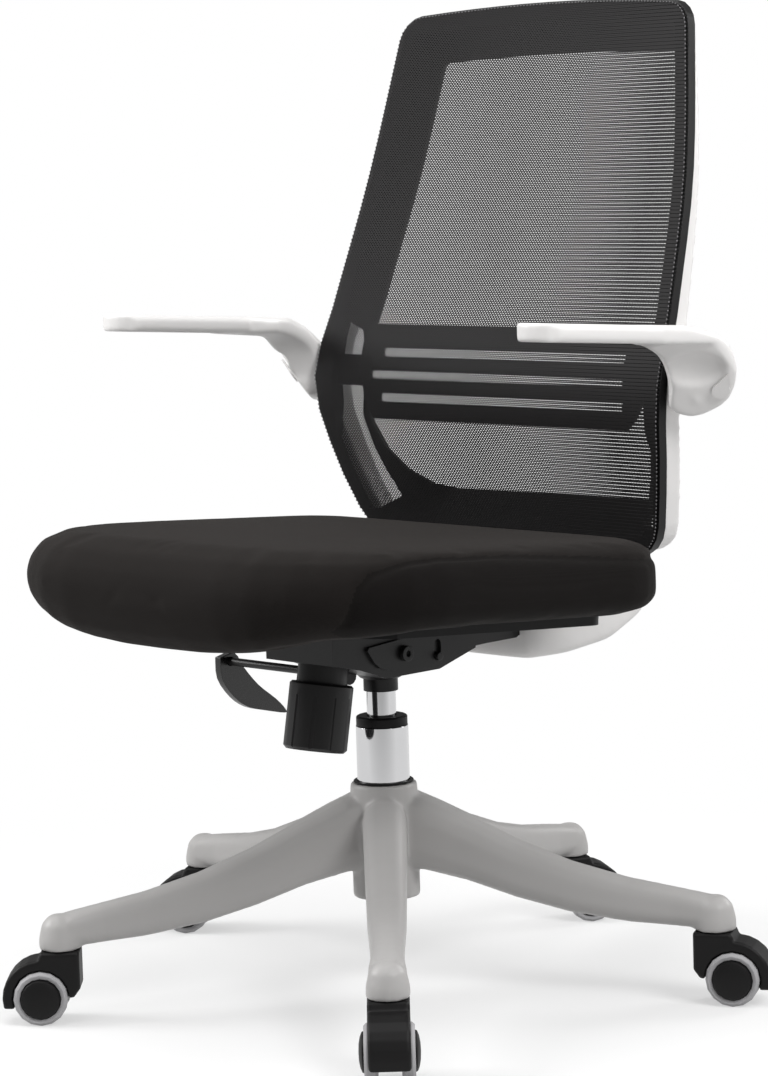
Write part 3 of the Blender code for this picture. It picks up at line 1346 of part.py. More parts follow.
def build_back(back):
    """Make the white frame, the mesh frame, the mesh, the pivot pins and the foot's clamp plate."""
    add_part("back_frame", frame_mesh(), "white_plastic", back)
    add_part("mesh_frame", mesh_frame_mesh(), "black_plastic", back)
    add_part("back_mesh", back_mesh_sheet(), "back_mesh", back)
    pivot = pivot_place()
    for name, side in (("left", 1), ("right", -1)):
        inner = Vector((side * (boss_reach() - PIVOT_BOSS_LENGTH + 0.002 + GAP), pivot.y, pivot.z))
        outer = Vector((side * (boss_reach() + PIVOT_DEPTH), pivot.y, pivot.z))
        add_part(f"arm_pivot_{name}", rod(inner, outer, PIVOT_RADIUS), "steel", back)
    low, high = clamp_corners()
    top = RECLINE_AXLE.z + TONGUE_THICKNESS / 2 + 0.006
    studs = [rod((x, y, low.z + 0.001), (x, y, top), BACK_BOLT_RADIUS, 10) for x, y in back_bolt_places()]
    add_part("back_clamp_plate", shaped(box(low, high), studs), "steel", back)


def lumbar_place():
    """Return the place of the lumbar panel, with its own Z along the slide."""
    front = RECLINE_AXLE.y + BACK_STATIONS[LUMBAR_STATION_COUNT][1]
    middle = Vector((0, front + LUMBAR_BEHIND, LUMBAR_LEVEL + LUMBAR_RISE))
    return Matrix.Translation(middle) @ Matrix.Rotation(-LUMBAR_TILT, 4, "X")


def build_lumbar(frame):
    """Make the slotted lumbar panel with the clips that slide on the rim."""
    half = LUMBAR_HEIGHT / 2
    right = [
        (LUMBAR_HALF - LUMBAR_FOOT_STEP, -half),
        (LUMBAR_HALF - LUMBAR_TOP_STEP, -half + LUMBAR_FOOT_STEP / 2),
        (LUMBAR_HALF, -half / 8),
        (LUMBAR_HALF, half / 2),
        (LUMBAR_HALF - LUMBAR_TOP_STEP, half),
    ]
    outline = right + [(-x, z) for x, z in right[::-1]]
    slots = []
    for i, margin in enumerate(LUMBAR_SLOT_MARGINS):
        reach = LUMBAR_HALF - margin
        level = (1 - i) * LUMBAR_SLOT_PITCH - LUMBAR_SLOT_DROP
        tall = LUMBAR_SLOT_HEIGHT / 2
        low, high = level - tall, level + tall
        slots.append([(-reach, low), (reach, low), (reach, high), (-reach, high)])
    panel = placed(flat_plate(outline, LUMBAR_THICKNESS, slots), Matrix.Rotation(math.pi / 2, 4, "X"))
    clips = []
    for side in (-1, 1):
        inner = side * (LUMBAR_HALF - CLIP_OVERLAP)
        outer = side * (RAIL_X - CRESCENT_MARGIN - RUNNING_GAP)
        low, high = -CLIP_HEIGHT / 2, CLIP_HEIGHT / 2
        xs = sorted((inner, outer))
        clips.append(box((xs[0], -CLIP_FORWARD, low), (xs[1], CLIP_DEPTH - CLIP_FORWARD, high)))
        xs = sorted((inner, side * (LUMBAR_HALF - 0.002)))
        clips.append(box((xs[0], -CLIP_FORWARD + 0.004, low), (xs[1], 0, high)))
    add_part("lumbar_support", shaped(panel, clips), "black_plastic", frame, Matrix())


def pad_outline():
    """Return the side outline of an arm pad, as (y, z) around its pivot."""

    def top(y):
        return PAD_TOP - PAD_FALL * (y + PAD_REACH)

    return [
        (-PAD_REACH, top(-PAD_REACH)),
        (-PAD_END, top(-PAD_END)),
        (-PAD_END, top(-PAD_END) - PAD_THICKNESS),
        (-PAD_REACH, top(-PAD_REACH) - PAD_THICKNESS),
    ]


def pad_mesh(pivot):
    """Return an arm pad with a round tip."""
    low, high = ARM_CENTRE - PAD_WIDTH / 2, ARM_CENTRE + PAD_WIDTH / 2
    lie = Matrix(((0, 0, 1, ARM_CENTRE), (1, 0, 0, pivot.y), (0, 1, 0, pivot.z), (0, 0, 0, 1)))
    body = placed(flat_plate(pad_outline(), PAD_WIDTH, edge=PAD_EDGE), lie)
    tip = (ARM_CENTRE, pivot.y - PAD_REACH + PAD_TIP_RADIUS + PAD_EDGE)
    plan = arc(tip, PAD_TIP_RADIUS + PAD_EDGE / 4, math.pi, TURN, 9)
    plan += [(high + 0.001, pivot.y), (low - 0.001, pivot.y)]
    column = placed(flat_plate(plan, 2 * HOOK_ROOM), Matrix.Translation((0, 0, pivot.z + PAD_TOP)))
    return shaped(body, common=[column])


def hook_place(pivot):
    """Return the hook's own place at the pivot: X along its face, Y up and Z outward."""
    lean = math.sqrt(0.5)
    return Matrix((
        (lean, 0, lean, ARM_CENTRE),
        (lean, 0, -lean, pivot.y),
        (0, 1, 0, pivot.z),
        (0, 0, 0, 1),
    ))


def face_place():
    """Return the sloping outer face in the hook's place, with Z out of the face and the pivot on it."""
    low, high = Vector(HOOK_FACE_LOW), Vector(HOOK_FACE_HIGH)
    slope = (high - low).normalized()
    outward = low.x + (high.x - low.x) * (0 - low.y) / (high.y - low.y)
    return Matrix((
        (1, 0, 0, outward),
        (0, slope.y, -slope.x, 0),
        (0, slope.x, slope.y, outward),
        (0, 0, 0, 1),
    ))


def hook_mesh(pivot, inner):
    """Return the hook that joins the pad to the pivot."""
    place = hook_place(pivot)
    face_outline = smooth_run(HOOK_OUTLINE, 2) + list(HOOK_PAD_OVERLAP)
    edge_outline = [HOOK_FACE_HIGH, HOOK_FACE_LOW, *HOOK_EDGE_OUTLINE]
    across = Matrix.Rotation(math.pi / 2, 4, "Y")
    face_prism = placed(flat_plate(face_outline, 2 * HOOK_ROOM), place)
    edge_plate = flat_plate([(-out, up) for out, up in edge_outline], 2 * HOOK_ROOM)
    edge_prism = placed(edge_plate, place @ across)
    low = (inner, pivot.y - HOOK_ROOM, pivot.z - HOOK_ROOM)
    high = (ARM_CENTRE + PAD_WIDTH / 2, pivot.y + HOOK_ROOM, pivot.z + HOOK_ROOM)
    slab = box(low, high)
    return shaped(face_prism, common=[edge_prism, slab])


def build_arm(name, side, frame):
    """Make one flip-up armrest and the cap over its pivot pin."""
    pivot = pivot_place()
    inner = boss_reach() + KNUCKLE_GAP
    hook = hook_mesh(pivot, inner)
    pin_end = boss_reach() + PIVOT_DEPTH
    knuckle = rod((inner, pivot.y, pivot.z), (pin_end, pivot.y, pivot.z), KNUCKLE_RADIUS, FINE_SIDES)
    face = hook_place(pivot) @ face_place()
    scoop_bm = bmesh.new()
    bmesh.ops.create_uvsphere(scoop_bm, u_segments=16, v_segments=10, radius=1.0)
    scoop = finished(scoop_bm)
    scoop.transform(
        face @ Matrix.Translation((-SCOOP_RISE, SCOOP_RISE, 0)) @ Matrix.Diagonal((*SCOOP_SIZE, 1))
    )
    bore_end = (pin_end + RUNNING_GAP, pivot.y, pivot.z)
    bore = rod((inner - 0.01, pivot.y, pivot.z), bore_end, PIVOT_RADIUS + GAP)
    arm = shaped(pad_mesh(pivot), [hook, knuckle], [scoop, bore])
    cap_outline = arc((0, 0), ARM_CAP_RADIUS, math.radians(120), math.radians(390), 12)
    cap_outline.append((ARM_CAP_RADIUS * 0.6, ARM_CAP_TIP))
    cap = flat_plate(cap_outline, ARM_CAP_THICKNESS)
    cap.transform(face @ Matrix.Translation((0, 0, GAP + ARM_CAP_THICKNESS / 2)))
    flip = Matrix.Diagonal((side, 1, 1, 1))
    add_part(f"armrest_{name}", placed(arm, flip), "white_plastic", frame)
    add_part(f"arm_cap_{name}", placed(cap, flip), "white_plastic", frame)


def centre_on_floor(root):
    """Move the whole chair so that its box stands centred on the origin."""
    bpy.context.view_layer.update()
    corners = [
        item.matrix_world @ Vector(corner)
        for item in PARTS.objects if item.type == "MESH"
        for corner in (vertex.co for vertex in item.data.vertices)
    ]
    middle = [(min(c[k] for c in corners) + max(c[k] for c in corners)) / 2 for k in (0, 1)]
    floor = min(c.z for c in corners)
    root.location = (-middle[0], -middle[1], -floor)
    bpy.context.view_layer.update()


def build():
    """Build the whole chair."""
    root = make_frame("base_frame", None, Matrix())
    spindle = make_frame("spindle_frame", root, Matrix.Translation((0, 0, COLUMN_BOTTOM)))
    seat = make_frame("seat_frame", spindle, Matrix.Translation((0, 0, HOUSING_BOTTOM)))
    back = make_frame("back_frame_axis", seat, Matrix.Translation(RECLINE_AXLE))
    lumbar = make_frame("lumbar_frame", back, lumbar_place())
    arm_left = make_frame("arm_left_frame", back, Matrix.Translation(pivot_place()))
    arm_right = make_frame("arm_right_frame", back, Matrix.Translation(pivot_place()))
    knob = make_frame("tension_knob_frame", seat, tension_place())
    plate = make_frame("tension_plate_frame", seat, tension_place())
    lever = make_frame("lever_frame", seat, Matrix.Translation(LEVER_AXIS))
    build_base(root)
    build_lift(root, spindle, seat)
    build_mechanism(seat, back)
    build_tension(knob, plate)
    build_lever(lever)
    build_seat(seat)
    build_back(back)
    build_lumbar(lumbar)
    build_arm("left", 1, arm_left)
    build_arm("right", -1, arm_right)
    centre_on_floor(root)
    bpy.data.collections.remove(WORKSHOP)


build()
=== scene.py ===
"""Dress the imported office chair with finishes, soft pieces and moulded skins, and set up its studio."""

import json
import logging
import math
from dataclasses import dataclass, field
from enum import Enum
from typing import Iterable, Optional, Union

import bmesh
import bpy
import numpy as np
from mathutils import Matrix, Vector
from mathutils.bvhtree import BVHTree
from mathutils.kdtree import KDTree

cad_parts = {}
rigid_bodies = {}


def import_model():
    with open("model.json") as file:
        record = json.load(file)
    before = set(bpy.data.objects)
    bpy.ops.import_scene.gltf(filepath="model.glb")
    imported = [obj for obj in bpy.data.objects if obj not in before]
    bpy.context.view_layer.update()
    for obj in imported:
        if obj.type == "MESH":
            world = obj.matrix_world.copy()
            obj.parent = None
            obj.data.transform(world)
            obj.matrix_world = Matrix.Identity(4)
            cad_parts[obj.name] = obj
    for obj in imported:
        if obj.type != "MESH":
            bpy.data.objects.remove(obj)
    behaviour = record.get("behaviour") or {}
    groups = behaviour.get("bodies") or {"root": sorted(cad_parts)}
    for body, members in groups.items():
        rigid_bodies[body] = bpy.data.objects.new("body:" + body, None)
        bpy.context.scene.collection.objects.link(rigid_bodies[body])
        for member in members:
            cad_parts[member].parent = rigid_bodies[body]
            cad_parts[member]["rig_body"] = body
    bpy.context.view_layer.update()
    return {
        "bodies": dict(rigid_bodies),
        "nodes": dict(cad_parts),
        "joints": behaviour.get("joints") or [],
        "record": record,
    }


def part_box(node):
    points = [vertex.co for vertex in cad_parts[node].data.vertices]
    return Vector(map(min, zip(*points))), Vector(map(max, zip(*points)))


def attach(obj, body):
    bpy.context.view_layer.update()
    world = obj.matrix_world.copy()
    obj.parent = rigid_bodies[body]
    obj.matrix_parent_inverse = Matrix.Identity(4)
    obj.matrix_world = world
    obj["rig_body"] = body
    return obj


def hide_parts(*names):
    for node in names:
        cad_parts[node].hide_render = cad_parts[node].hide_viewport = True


LOG = logging.getLogger("office_chair")

Colour = tuple[float, float, float]
Socket = Union[bpy.types.NodeSocket, float]
Zone = tuple[float, float, float]

WELD_GAP = 0.00002
LEAST_MOVE = 0.00002
SHARP_ANGLE = 32.0
STEP_OUT = 0.5
STEP_BACK = -0.53
GENTLE_STEP_BACK = -0.51
EVENING_PER_SOFTENING = 3
ARM_ZONES: tuple[Zone, ...] = ((0.17, 0.11, 0.4), (0.45, 0.60, 1.0))
FOOT_ZONES: tuple[Zone, ...] = ((0.20, 0.13, 1.0),)


class Shade(Enum):
    """The colours that the chair is made in."""

    WHITE = (0.82, 0.807, 0.798)
    BASE_WHITE = (0.45, 0.440, 0.433)
    BLACK = (0.0074, 0.0070, 0.0072)
    STEEL_BLACK = (0.0085, 0.0081, 0.0083)
    TYRE = (0.42, 0.415, 0.425)
    CLOTH = (0.0094, 0.0079, 0.0073)
    THREAD = (0.0115, 0.0108, 0.0111)
    STITCH = (0.16, 0.155, 0.16)
    CHROME = (0.71, 0.71, 0.72)
    STEEL = (0.45, 0.45, 0.46)


class Graph:
    """A material with short calls that add and link its nodes."""

    def __init__(self, name: str) -> None:
        """Make a material with a plain Principled shader.

        Args:
            name: The material's name.
        """
        self.material = bpy.data.materials.new(name)
        self.material.use_nodes = True
        self.tree = self.material.node_tree
        self.shader = self.tree.nodes["Principled BSDF"]

    def add(self, kind: str, **sockets: Socket) -> bpy.types.Node:
        """Add a node and set or link its inputs.

        Args:
            kind: The node's type name.
            sockets: Values or output sockets by input name, with underscores for spaces.

        Returns:
            The new node.
        """
        node = self.tree.nodes.new(kind)
        for name, value in sockets.items():
            self.feed(node.inputs[name.replace("_", " ")], value)
        return node

    def feed(self, target: bpy.types.NodeSocket, value: object) -> None:
        """Link an output socket to a target, or set the target's value."""
        if isinstance(value, bpy.types.NodeSocket):
            self.tree.links.new(value, target)
        else:
            target.default_value = value

    def math(
        self, operation: str, first: Socket, second: Socket = 0.0, third: Socket = 0.0
    ) -> bpy.types.NodeSocket:
        """Return the result of a math node.

        Args:
            operation: The operation's name.
            first: The first value or socket.
            second: The second value or socket.
            third: The third value or socket.

        Returns:
            The node's output.
        """
        node = self.tree.nodes.new("ShaderNodeMath")
        node.operation = operation
        for target, value in zip(node.inputs, (first, second, third)):
            self.feed(target, value)
        return node.outputs[0]

    def place(self) -> bpy.types.NodeSocket:
        """Return the object coordinates, in metres."""
        return self.add("ShaderNodeTexCoord").outputs["Object"]

    def stretched(self, scale: tuple[float, float, float]) -> bpy.types.NodeSocket:
        """Return the object coordinates, scaled along each axis."""
        return self.add("ShaderNodeMapping", Vector=self.place(), Scale=scale).outputs[0]

    def noise(
        self, scale: float, detail: float = 2.0, place: Optional[Socket] = None
    ) -> bpy.types.NodeSocket:
        """Return a noise value.

        Args:
            scale: How many bumps go in a metre.
            detail: How many finer layers it has.
            place: The coordinates, or None for the object's own.

        Returns:
            The noise, from 0 to 1.
        """
        vector = self.place() if place is None else place
        node = self.add("ShaderNodeTexNoise", Vector=vector, Scale=scale, Detail=detail)
        return node.outputs[0]

    def between(self, low: float, high: float, factor: Socket) -> bpy.types.NodeSocket:
        """Return a value that runs from low to high with a factor."""
        return self.math("MULTIPLY_ADD", factor, high - low, low)

    def tint(self, dark: Colour, light: Colour, factor: Socket) -> None:
        """Colour the shader between two colours.

        Args:
            dark: The colour at factor 0.
            light: The colour at factor 1.
            factor: The value that picks between them.
        """
        node = self.tree.nodes.new("ShaderNodeMix")
        node.data_type = "RGBA"
        self.feed(node.inputs[0], factor)
        node.inputs[6].default_value = (*dark, 1.0)
        node.inputs[7].default_value = (*light, 1.0)
        self.tree.links.new(node.outputs[2], self.shader.inputs["Base Color"])

    def bump(self, height: Socket, strength: float, distance: float) -> None:
        """Raise the surface by a height value, in the shading.

        Args:
            height: The height, from 0 to 1.
            strength: How strongly it shows.
            distance: The height of a full step, in metres.
        """
        node = self.add("ShaderNodeBump", Height=height, Strength=strength, Distance=distance)
        self.tree.links.new(node.outputs[0], self.shader.inputs["Normal"])

    def set(self, **sockets: Socket) -> None:
        """Set or link inputs of the shader, with underscores for spaces."""
        for name, value in sockets.items():
            self.feed(self.shader.inputs[name.replace("_", " ")], value)


def toned(colour: Colour, share: float) -> Colour:
    """Return a colour with its brightness times a share."""
    return tuple(min(channel * share, 1.0) for channel in colour)


@dataclass(frozen=True)
class MouldedPlastic:
    """Satin moulded plastic with a fine spark-eroded grain."""

    name: str
    shade: Shade
    roughness: float = 0.42
    grain: float = 1500.0
    grain_depth: float = 0.00005
    mottle: float = 0.06
    shine: float = 0.4

    def make(self) -> bpy.types.Material:
        """Return the material."""
        graph = Graph(self.name)
        patches = graph.noise(14.0, 3.0)
        grain = graph.noise(self.grain, 2.0)
        colour = self.shade.value
        graph.tint(toned(colour, 1 - self.mottle), toned(colour, 1 + self.mottle), patches)
        graph.set(Roughness=graph.between(self.roughness - 0.06, self.roughness + 0.08, grain))
        graph.set(Specular_IOR_Level=self.shine)
        graph.bump(grain, 0.5, self.grain_depth)
        return graph.material


@dataclass(frozen=True)
class PowderCoat:
    """Satin powder coat with a slight orange peel."""

    name: str
    shade: Shade
    roughness: float = 0.38

    def make(self) -> bpy.types.Material:
        """Return the material."""
        graph = Graph(self.name)
        peel = graph.noise(520.0, 1.5)
        patches = graph.noise(20.0, 3.0)
        colour = self.shade.value
        graph.tint(toned(colour, 0.85), toned(colour, 1.25), patches)
        graph.set(Roughness=graph.between(self.roughness - 0.05, self.roughness + 0.1, patches))
        graph.set(Specular_IOR_Level=0.35)
        graph.bump(peel, 0.35, 0.00012)
        return graph.material


@dataclass(frozen=True)
class BrightMetal:
    """Turned or plated metal with faint drawn lines."""

    name: str
    shade: Shade
    roughness: float
    lines: float = 0.05

    def make(self) -> bpy.types.Material:
        """Return the material."""
        graph = Graph(self.name)
        drawn = graph.noise(60.0, 4.0, graph.stretched((1.0, 1.0, 45.0)))
        haze = graph.noise(30.0, 3.0)
        colour = self.shade.value
        graph.tint(toned(colour, 0.93), colour, haze)
        graph.set(Metallic=1.0)
        graph.set(Roughness=graph.between(self.roughness, self.roughness + self.lines, drawn))
        graph.bump(drawn, 0.04, 0.00005)
        return graph.material


@dataclass(frozen=True)
class SoftTyre:
    """Soft grey tread with a matte skin and a little floor dust."""

    name: str
    shade: Shade

    def make(self) -> bpy.types.Material:
        """Return the material."""
        graph = Graph(self.name)
        dust = graph.noise(90.0, 4.0)
        skin = graph.noise(1800.0, 2.0)
        colour = self.shade.value
        graph.tint(toned(colour, 0.86), toned(colour, 1.1), dust)
        graph.set(Roughness=graph.between(0.5, 0.68, dust))
        graph.bump(skin, 0.4, 0.00006)
        return graph.material


class Weave(Enum):
    """How the seat cloth is woven, as rib pitch along and across in metres."""

    TOP = (0.0016, 0.0012)
    SIDE = (0.0010, 0.0010)


@dataclass(frozen=True)
class SeatCloth:
    """Warm black upholstery cloth with a fine ribbed weave and a soft sheen."""

    name: str
    shade: Shade
    weave: Weave
    lift: float = 1.0
    sheen: float = 0.1

    def make(self) -> bpy.types.Material:
        """Return the material."""
        graph = Graph(self.name)
        axes = graph.add("ShaderNodeSeparateXYZ", Vector=graph.place())
        along, across = self.weave.value
        warp = graph.math("SINE", graph.math("MULTIPLY", axes.outputs[0], math.tau / along))
        height = graph.math("ADD", axes.outputs[1], axes.outputs[2])
        weft = graph.math("SINE", graph.math("MULTIPLY", height, math.tau / across))
        knit = graph.math("MULTIPLY_ADD", graph.math("MULTIPLY", warp, weft), 0.5, 0.5)
        fuzz = graph.noise(700.0, 3.0)
        wear = graph.noise(9.0, 4.0)
        thread = graph.math("MULTIPLY_ADD", fuzz, 0.5, graph.math("MULTIPLY", knit, 0.3))
        factor = graph.math("MULTIPLY_ADD", wear, 0.35, thread)
        colour = toned(self.shade.value, self.lift)
        graph.tint(toned(colour, 0.55), toned(colour, 1.6), factor)
        graph.set(Roughness=graph.between(0.78, 0.95, fuzz))
        graph.set(Sheen_Weight=self.sheen, Sheen_Roughness=0.45, Sheen_Tint=(0.85, 0.80, 0.76, 1.0))
        graph.set(Specular_IOR_Level=0.10)
        graph.bump(graph.math("MULTIPLY_ADD", fuzz, 0.4, knit), 0.5, 0.00022)
        return graph.material


@dataclass(frozen=True)
class OpenWeave:
    """See-through knitted mesh with rows of small staggered holes."""

    name: str
    shade: Shade
    pitch: float = 0.0034
    row: float = 0.0017
    hole_width: float = 0.240
    hole_height: float = 0.232
    closing: float = 0.6
    drawn_wide: float = 6.0
    drawn_low: float = 1.2
    rows_closing: float = 8.6
    least_tall: float = 0.02

    def make(self) -> bpy.types.Material:
        """Return the material."""
        graph = Graph(self.name)
        axes = graph.add("ShaderNodeSeparateXYZ", Vector=graph.place())
        rows = graph.math("DIVIDE", axes.outputs[2], self.row)
        odd = graph.math("MULTIPLY", graph.math("PINGPONG", graph.math("FLOOR", rows), 1.0), 0.5)
        across = graph.math("ADD", graph.math("DIVIDE", axes.outputs[0], self.pitch), odd)
        open_share = graph.math("MULTIPLY_ADD", axes.outputs[0], -self.closing, 1.0)
        beyond = graph.math("MAXIMUM", axes.outputs[0], 0.0)
        wide = graph.math("MULTIPLY", open_share, graph.math("MULTIPLY_ADD", beyond, self.drawn_wide, 1.0))
        lowering = graph.math("MULTIPLY_ADD", odd, -self.rows_closing, -self.drawn_low)
        tall = graph.math("MULTIPLY", open_share, graph.math("MULTIPLY_ADD", beyond, lowering, 1.0))
        tall = graph.math("MAXIMUM", tall, self.least_tall)
        beside = self.from_middle(graph, across, graph.math("MULTIPLY", wide, self.hole_width))
        above = self.from_middle(graph, rows, graph.math("MULTIPLY", tall, self.hole_height))
        beside_squared = graph.math("MULTIPLY", beside, beside)
        above_squared = graph.math("MULTIPLY", above, above)
        reach = graph.math("ADD", beside_squared, above_squared)
        solid = graph.math("GREATER_THAN", reach, 1.0)
        yarn = graph.noise(900.0, 2.0)
        colour = self.shade.value
        graph.tint(toned(colour, 0.7), toned(colour, 1.9), yarn)
        graph.set(Roughness=graph.between(0.45, 0.65, yarn))
        graph.set(Specular_IOR_Level=0.12)
        graph.shader.inputs["Alpha"].default_value = 0.8
        graph.set(Alpha=solid)
        graph.bump(graph.math("MINIMUM", reach, 2.0), 0.35, 0.0003)
        return graph.material

    @staticmethod
    def from_middle(graph: Graph, count: Socket, half: Socket) -> bpy.types.NodeSocket:
        """Return how far a point is from its cell's middle, in shares of the hole's half size.

        Args:
            graph: The material's graph.
            count: The cell count along one axis.
            half: The hole's half size, in cells.

        Returns:
            The signed distance.
        """
        inside = graph.math("SUBTRACT", graph.math("FRACT", count), 0.5)
        return graph.math("DIVIDE", inside, half)


class Finishes:
    """Every finish of the chair, made once and kept by name."""

    def __init__(self) -> None:
        """Make the materials."""
        kinds = (
            MouldedPlastic(
                "white_moulding", Shade.WHITE,
                roughness=0.40, grain=1600.0, grain_depth=0.00004, mottle=0.02,
            ),
            MouldedPlastic(
                "base_moulding", Shade.BASE_WHITE,
                roughness=0.44, grain=1400.0, grain_depth=0.00006, mottle=0.03,
            ),
            MouldedPlastic(
                "black_moulding", Shade.BLACK,
                roughness=0.48, grain=1300.0, grain_depth=0.00008, mottle=0.2, shine=0.2,
            ),
            MouldedPlastic(
                "black_gloss", Shade.BLACK,
                roughness=0.26, grain=1300.0, grain_depth=0.00004, mottle=0.2, shine=0.6,
            ),
            PowderCoat("black_coat", Shade.STEEL_BLACK),
            BrightMetal("polished_chrome", Shade.CHROME, roughness=0.06),
            BrightMetal("plain_steel", Shade.STEEL, roughness=0.24, lines=0.12),
            SoftTyre("grey_tread", Shade.TYRE),
            SeatCloth("seat_top_cloth", Shade.CLOTH, Weave.TOP, lift=1.0, sheen=0.05),
            SeatCloth("seat_side_cloth", Shade.CLOTH, Weave.SIDE, lift=0.6, sheen=0.03),
            OpenWeave("open_weave", Shade.THREAD),
            MouldedPlastic(
                "edge_thread", Shade.STITCH,
                roughness=0.6, grain=2200.0, grain_depth=0.00012, mottle=0.3, shine=0.2,
            ),
        )
        self.by_name: dict[str, bpy.types.Material] = {kind.name: kind.make() for kind in kinds}

    def __getitem__(self, name: str) -> bpy.types.Material:
        """Return a material by its name."""
        return self.by_name[name]


def linked(name: str, mesh: bpy.types.Mesh) -> bpy.types.Object:
    """Return a new object with a mesh, linked to the scene."""
    item = bpy.data.objects.new(name, mesh)
    bpy.context.scene.collection.objects.link(item)
    return item


def settled(item: bpy.types.Object) -> bpy.types.Object:
    """Apply an object's modifiers.

    Args:
        item: The object.

    Returns:
        The same object, with the result as its mesh and no modifiers.
    """
    bpy.context.view_layer.update()
    shown = item.evaluated_get(bpy.context.evaluated_depsgraph_get())
    mesh = bpy.data.meshes.new_from_object(shown)
    item.modifiers.clear()
    old = item.data
    item.data = mesh
    bpy.data.meshes.remove(old)
    return item


def smoothed(mesh: bpy.types.Mesh, angle: float) -> None:
    """Shade a mesh smooth, with sharp edges above an angle in degrees."""
    mesh.shade_smooth()
    mesh.set_sharp_from_angle(angle=math.radians(angle))


def dress(item: bpy.types.Object, *materials: bpy.types.Material) -> None:
    """Give an object its materials, in slot order."""
    item.data.materials.clear()
    for material in materials:
        item.data.materials.append(material)


def relaxed(
    mesh: bpy.types.Mesh, passes: int, back: float = STEP_BACK, shares: Optional[np.ndarray] = None
) -> None:
    """Smooth a mesh, with a step back after each step so that it keeps its size.

    Args:
        mesh: The mesh.
        passes: How many pairs of steps to take.
        back: The size of the step back, or 0 to let the mesh round off.
        shares: How much each vertex follows, from 0 to 1, or None where all follow in full.
    """
    follow = 1.0 if shares is None else shares
    count = len(mesh.vertices)
    flat = np.empty(count * 3)
    mesh.vertices.foreach_get("co", flat)
    points = flat.reshape(-1, 3)
    ends = np.empty(len(mesh.edges) * 2, dtype=np.int64)
    mesh.edges.foreach_get("vertices", ends)
    first, second = ends.reshape(-1, 2).T
    degree = np.bincount(ends, minlength=count)
    for step in [STEP_OUT, back] * passes:
        for axis in range(3):
            values = points[:, axis].copy()
            total = np.bincount(first, values[second], count) + np.bincount(second, values[first], count)
            points[:, axis] += (total / degree - values) * step * follow
    mesh.vertices.foreach_set("co", points.ravel())
    mesh.update()


class Bodies(Enum):
    """The moving bodies that new pieces ride on."""

    BASE = "base"
    SEAT = "seat"
    BACK = "back"


class Axis(Enum):
    """The axes that a skin's softened zones run along, as places in a point."""

    DEPTH = 1
    HEIGHT = 2


@dataclass
class MouldedSkin:
    """A rounded moulding that stands for one hard-edged solid."""

    node: str
    finish: str
    slot: str
    voxel: float
    evening: int
    rounding: int
    softening: int = 0
    soft_zones: tuple[Zone, ...] = ARM_ZONES
    soft_axis: Axis = Axis.DEPTH

    def build(self, frame: dict, finishes: Finishes) -> bpy.types.Object:
        """Make the skin from its solid, with every edge softened.

        Args:
            frame: The loaded frame.
            finishes: The chair's finishes.

        Returns:
            The new piece.
        """
        skin = linked(f"{self.node}_moulding", frame["nodes"][self.node].data.copy())
        remesh = skin.modifiers.new("skin", "REMESH")
        remesh.mode = "VOXEL"
        remesh.voxel_size = self.voxel
        settled(skin)
        relaxed(skin.data, self.rounding, back=0.0)
        relaxed(skin.data, self.evening)
        if self.softening:
            shares = self.soft_shares(skin.data)
            relaxed(skin.data, self.softening, 0.0, shares)
            relaxed(skin.data, self.softening * EVENING_PER_SOFTENING, GENTLE_STEP_BACK, shares)
        skin.data.shade_smooth()
        dress(skin, finishes[self.finish])
        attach(skin, frame["nodes"][self.node]["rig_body"])
        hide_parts(self.node)
        return skin

    def soft_shares(self, mesh: bpy.types.Mesh) -> np.ndarray:
        """Return how much each vertex is softened, by zones along one axis of the part.

        Args:
            mesh: The skin's mesh.

        Returns:
            The shares, from 0 to 1. Each zone gives its start, its end and its full share.
        """
        flat = np.empty(len(mesh.vertices) * 3)
        mesh.vertices.foreach_get("co", flat)
        place = flat[self.soft_axis.value::3]
        along = (place - place.min()) / (place.max() - place.min())
        zones = []
        for start, end, full in self.soft_zones:
            zones.append(np.clip((along - start) / (end - start), 0.0, 1.0) * full)
        return np.max(zones, axis=0)


@dataclass
class Hardware:
    """The solids that keep their shape and get eased edges and a finish."""

    edge: float = 0.0005
    finish_of_slot: dict[str, str] = field(default_factory=lambda: {
        "white_plastic": "white_moulding",
        "black_plastic": "black_moulding",
        "black_steel": "black_coat",
        "chrome": "polished_chrome",
        "steel": "plain_steel",
        "grey_tyre": "grey_tread",
        "seat_fabric": "seat_side_cloth",
        "back_mesh": "open_weave",
    })
    finish_of_node: dict[str, str] = field(default_factory=lambda: {
        "stop_pin": "black_coat",
        "tension_knob": "black_coat",
        "lever_paddle": "black_gloss",
    })

    def dress_nodes(self, frame: dict, finishes: Finishes) -> int:
        """Ease the edges of every solid and give it its finish.

        Args:
            frame: The loaded frame.
            finishes: The chair's finishes.

        Returns:
            How many solids were dressed.
        """
        for row in frame["record"]["subparts"]:
            item = frame["nodes"][row["node"]]
            finish = self.finish_of_node.get(row["node"], self.finish_of_slot[row["material_slot"]])
            dress(item, finishes[finish])
            smoothed(item.data, SHARP_ANGLE)
            weld = item.modifiers.new("join", "WELD")
            weld.merge_threshold = WELD_GAP
            ease = item.modifiers.new("ease", "BEVEL")
            ease.width = self.edge
            ease.segments = 2
            ease.limit_method = "ANGLE"
            ease.angle_limit = math.radians(SHARP_ANGLE)
            ease.use_clamp_overlap = True
            item.modifiers.new("even", "WEIGHTED_NORMAL").keep_sharp = True
        return len(frame["record"]["subparts"])


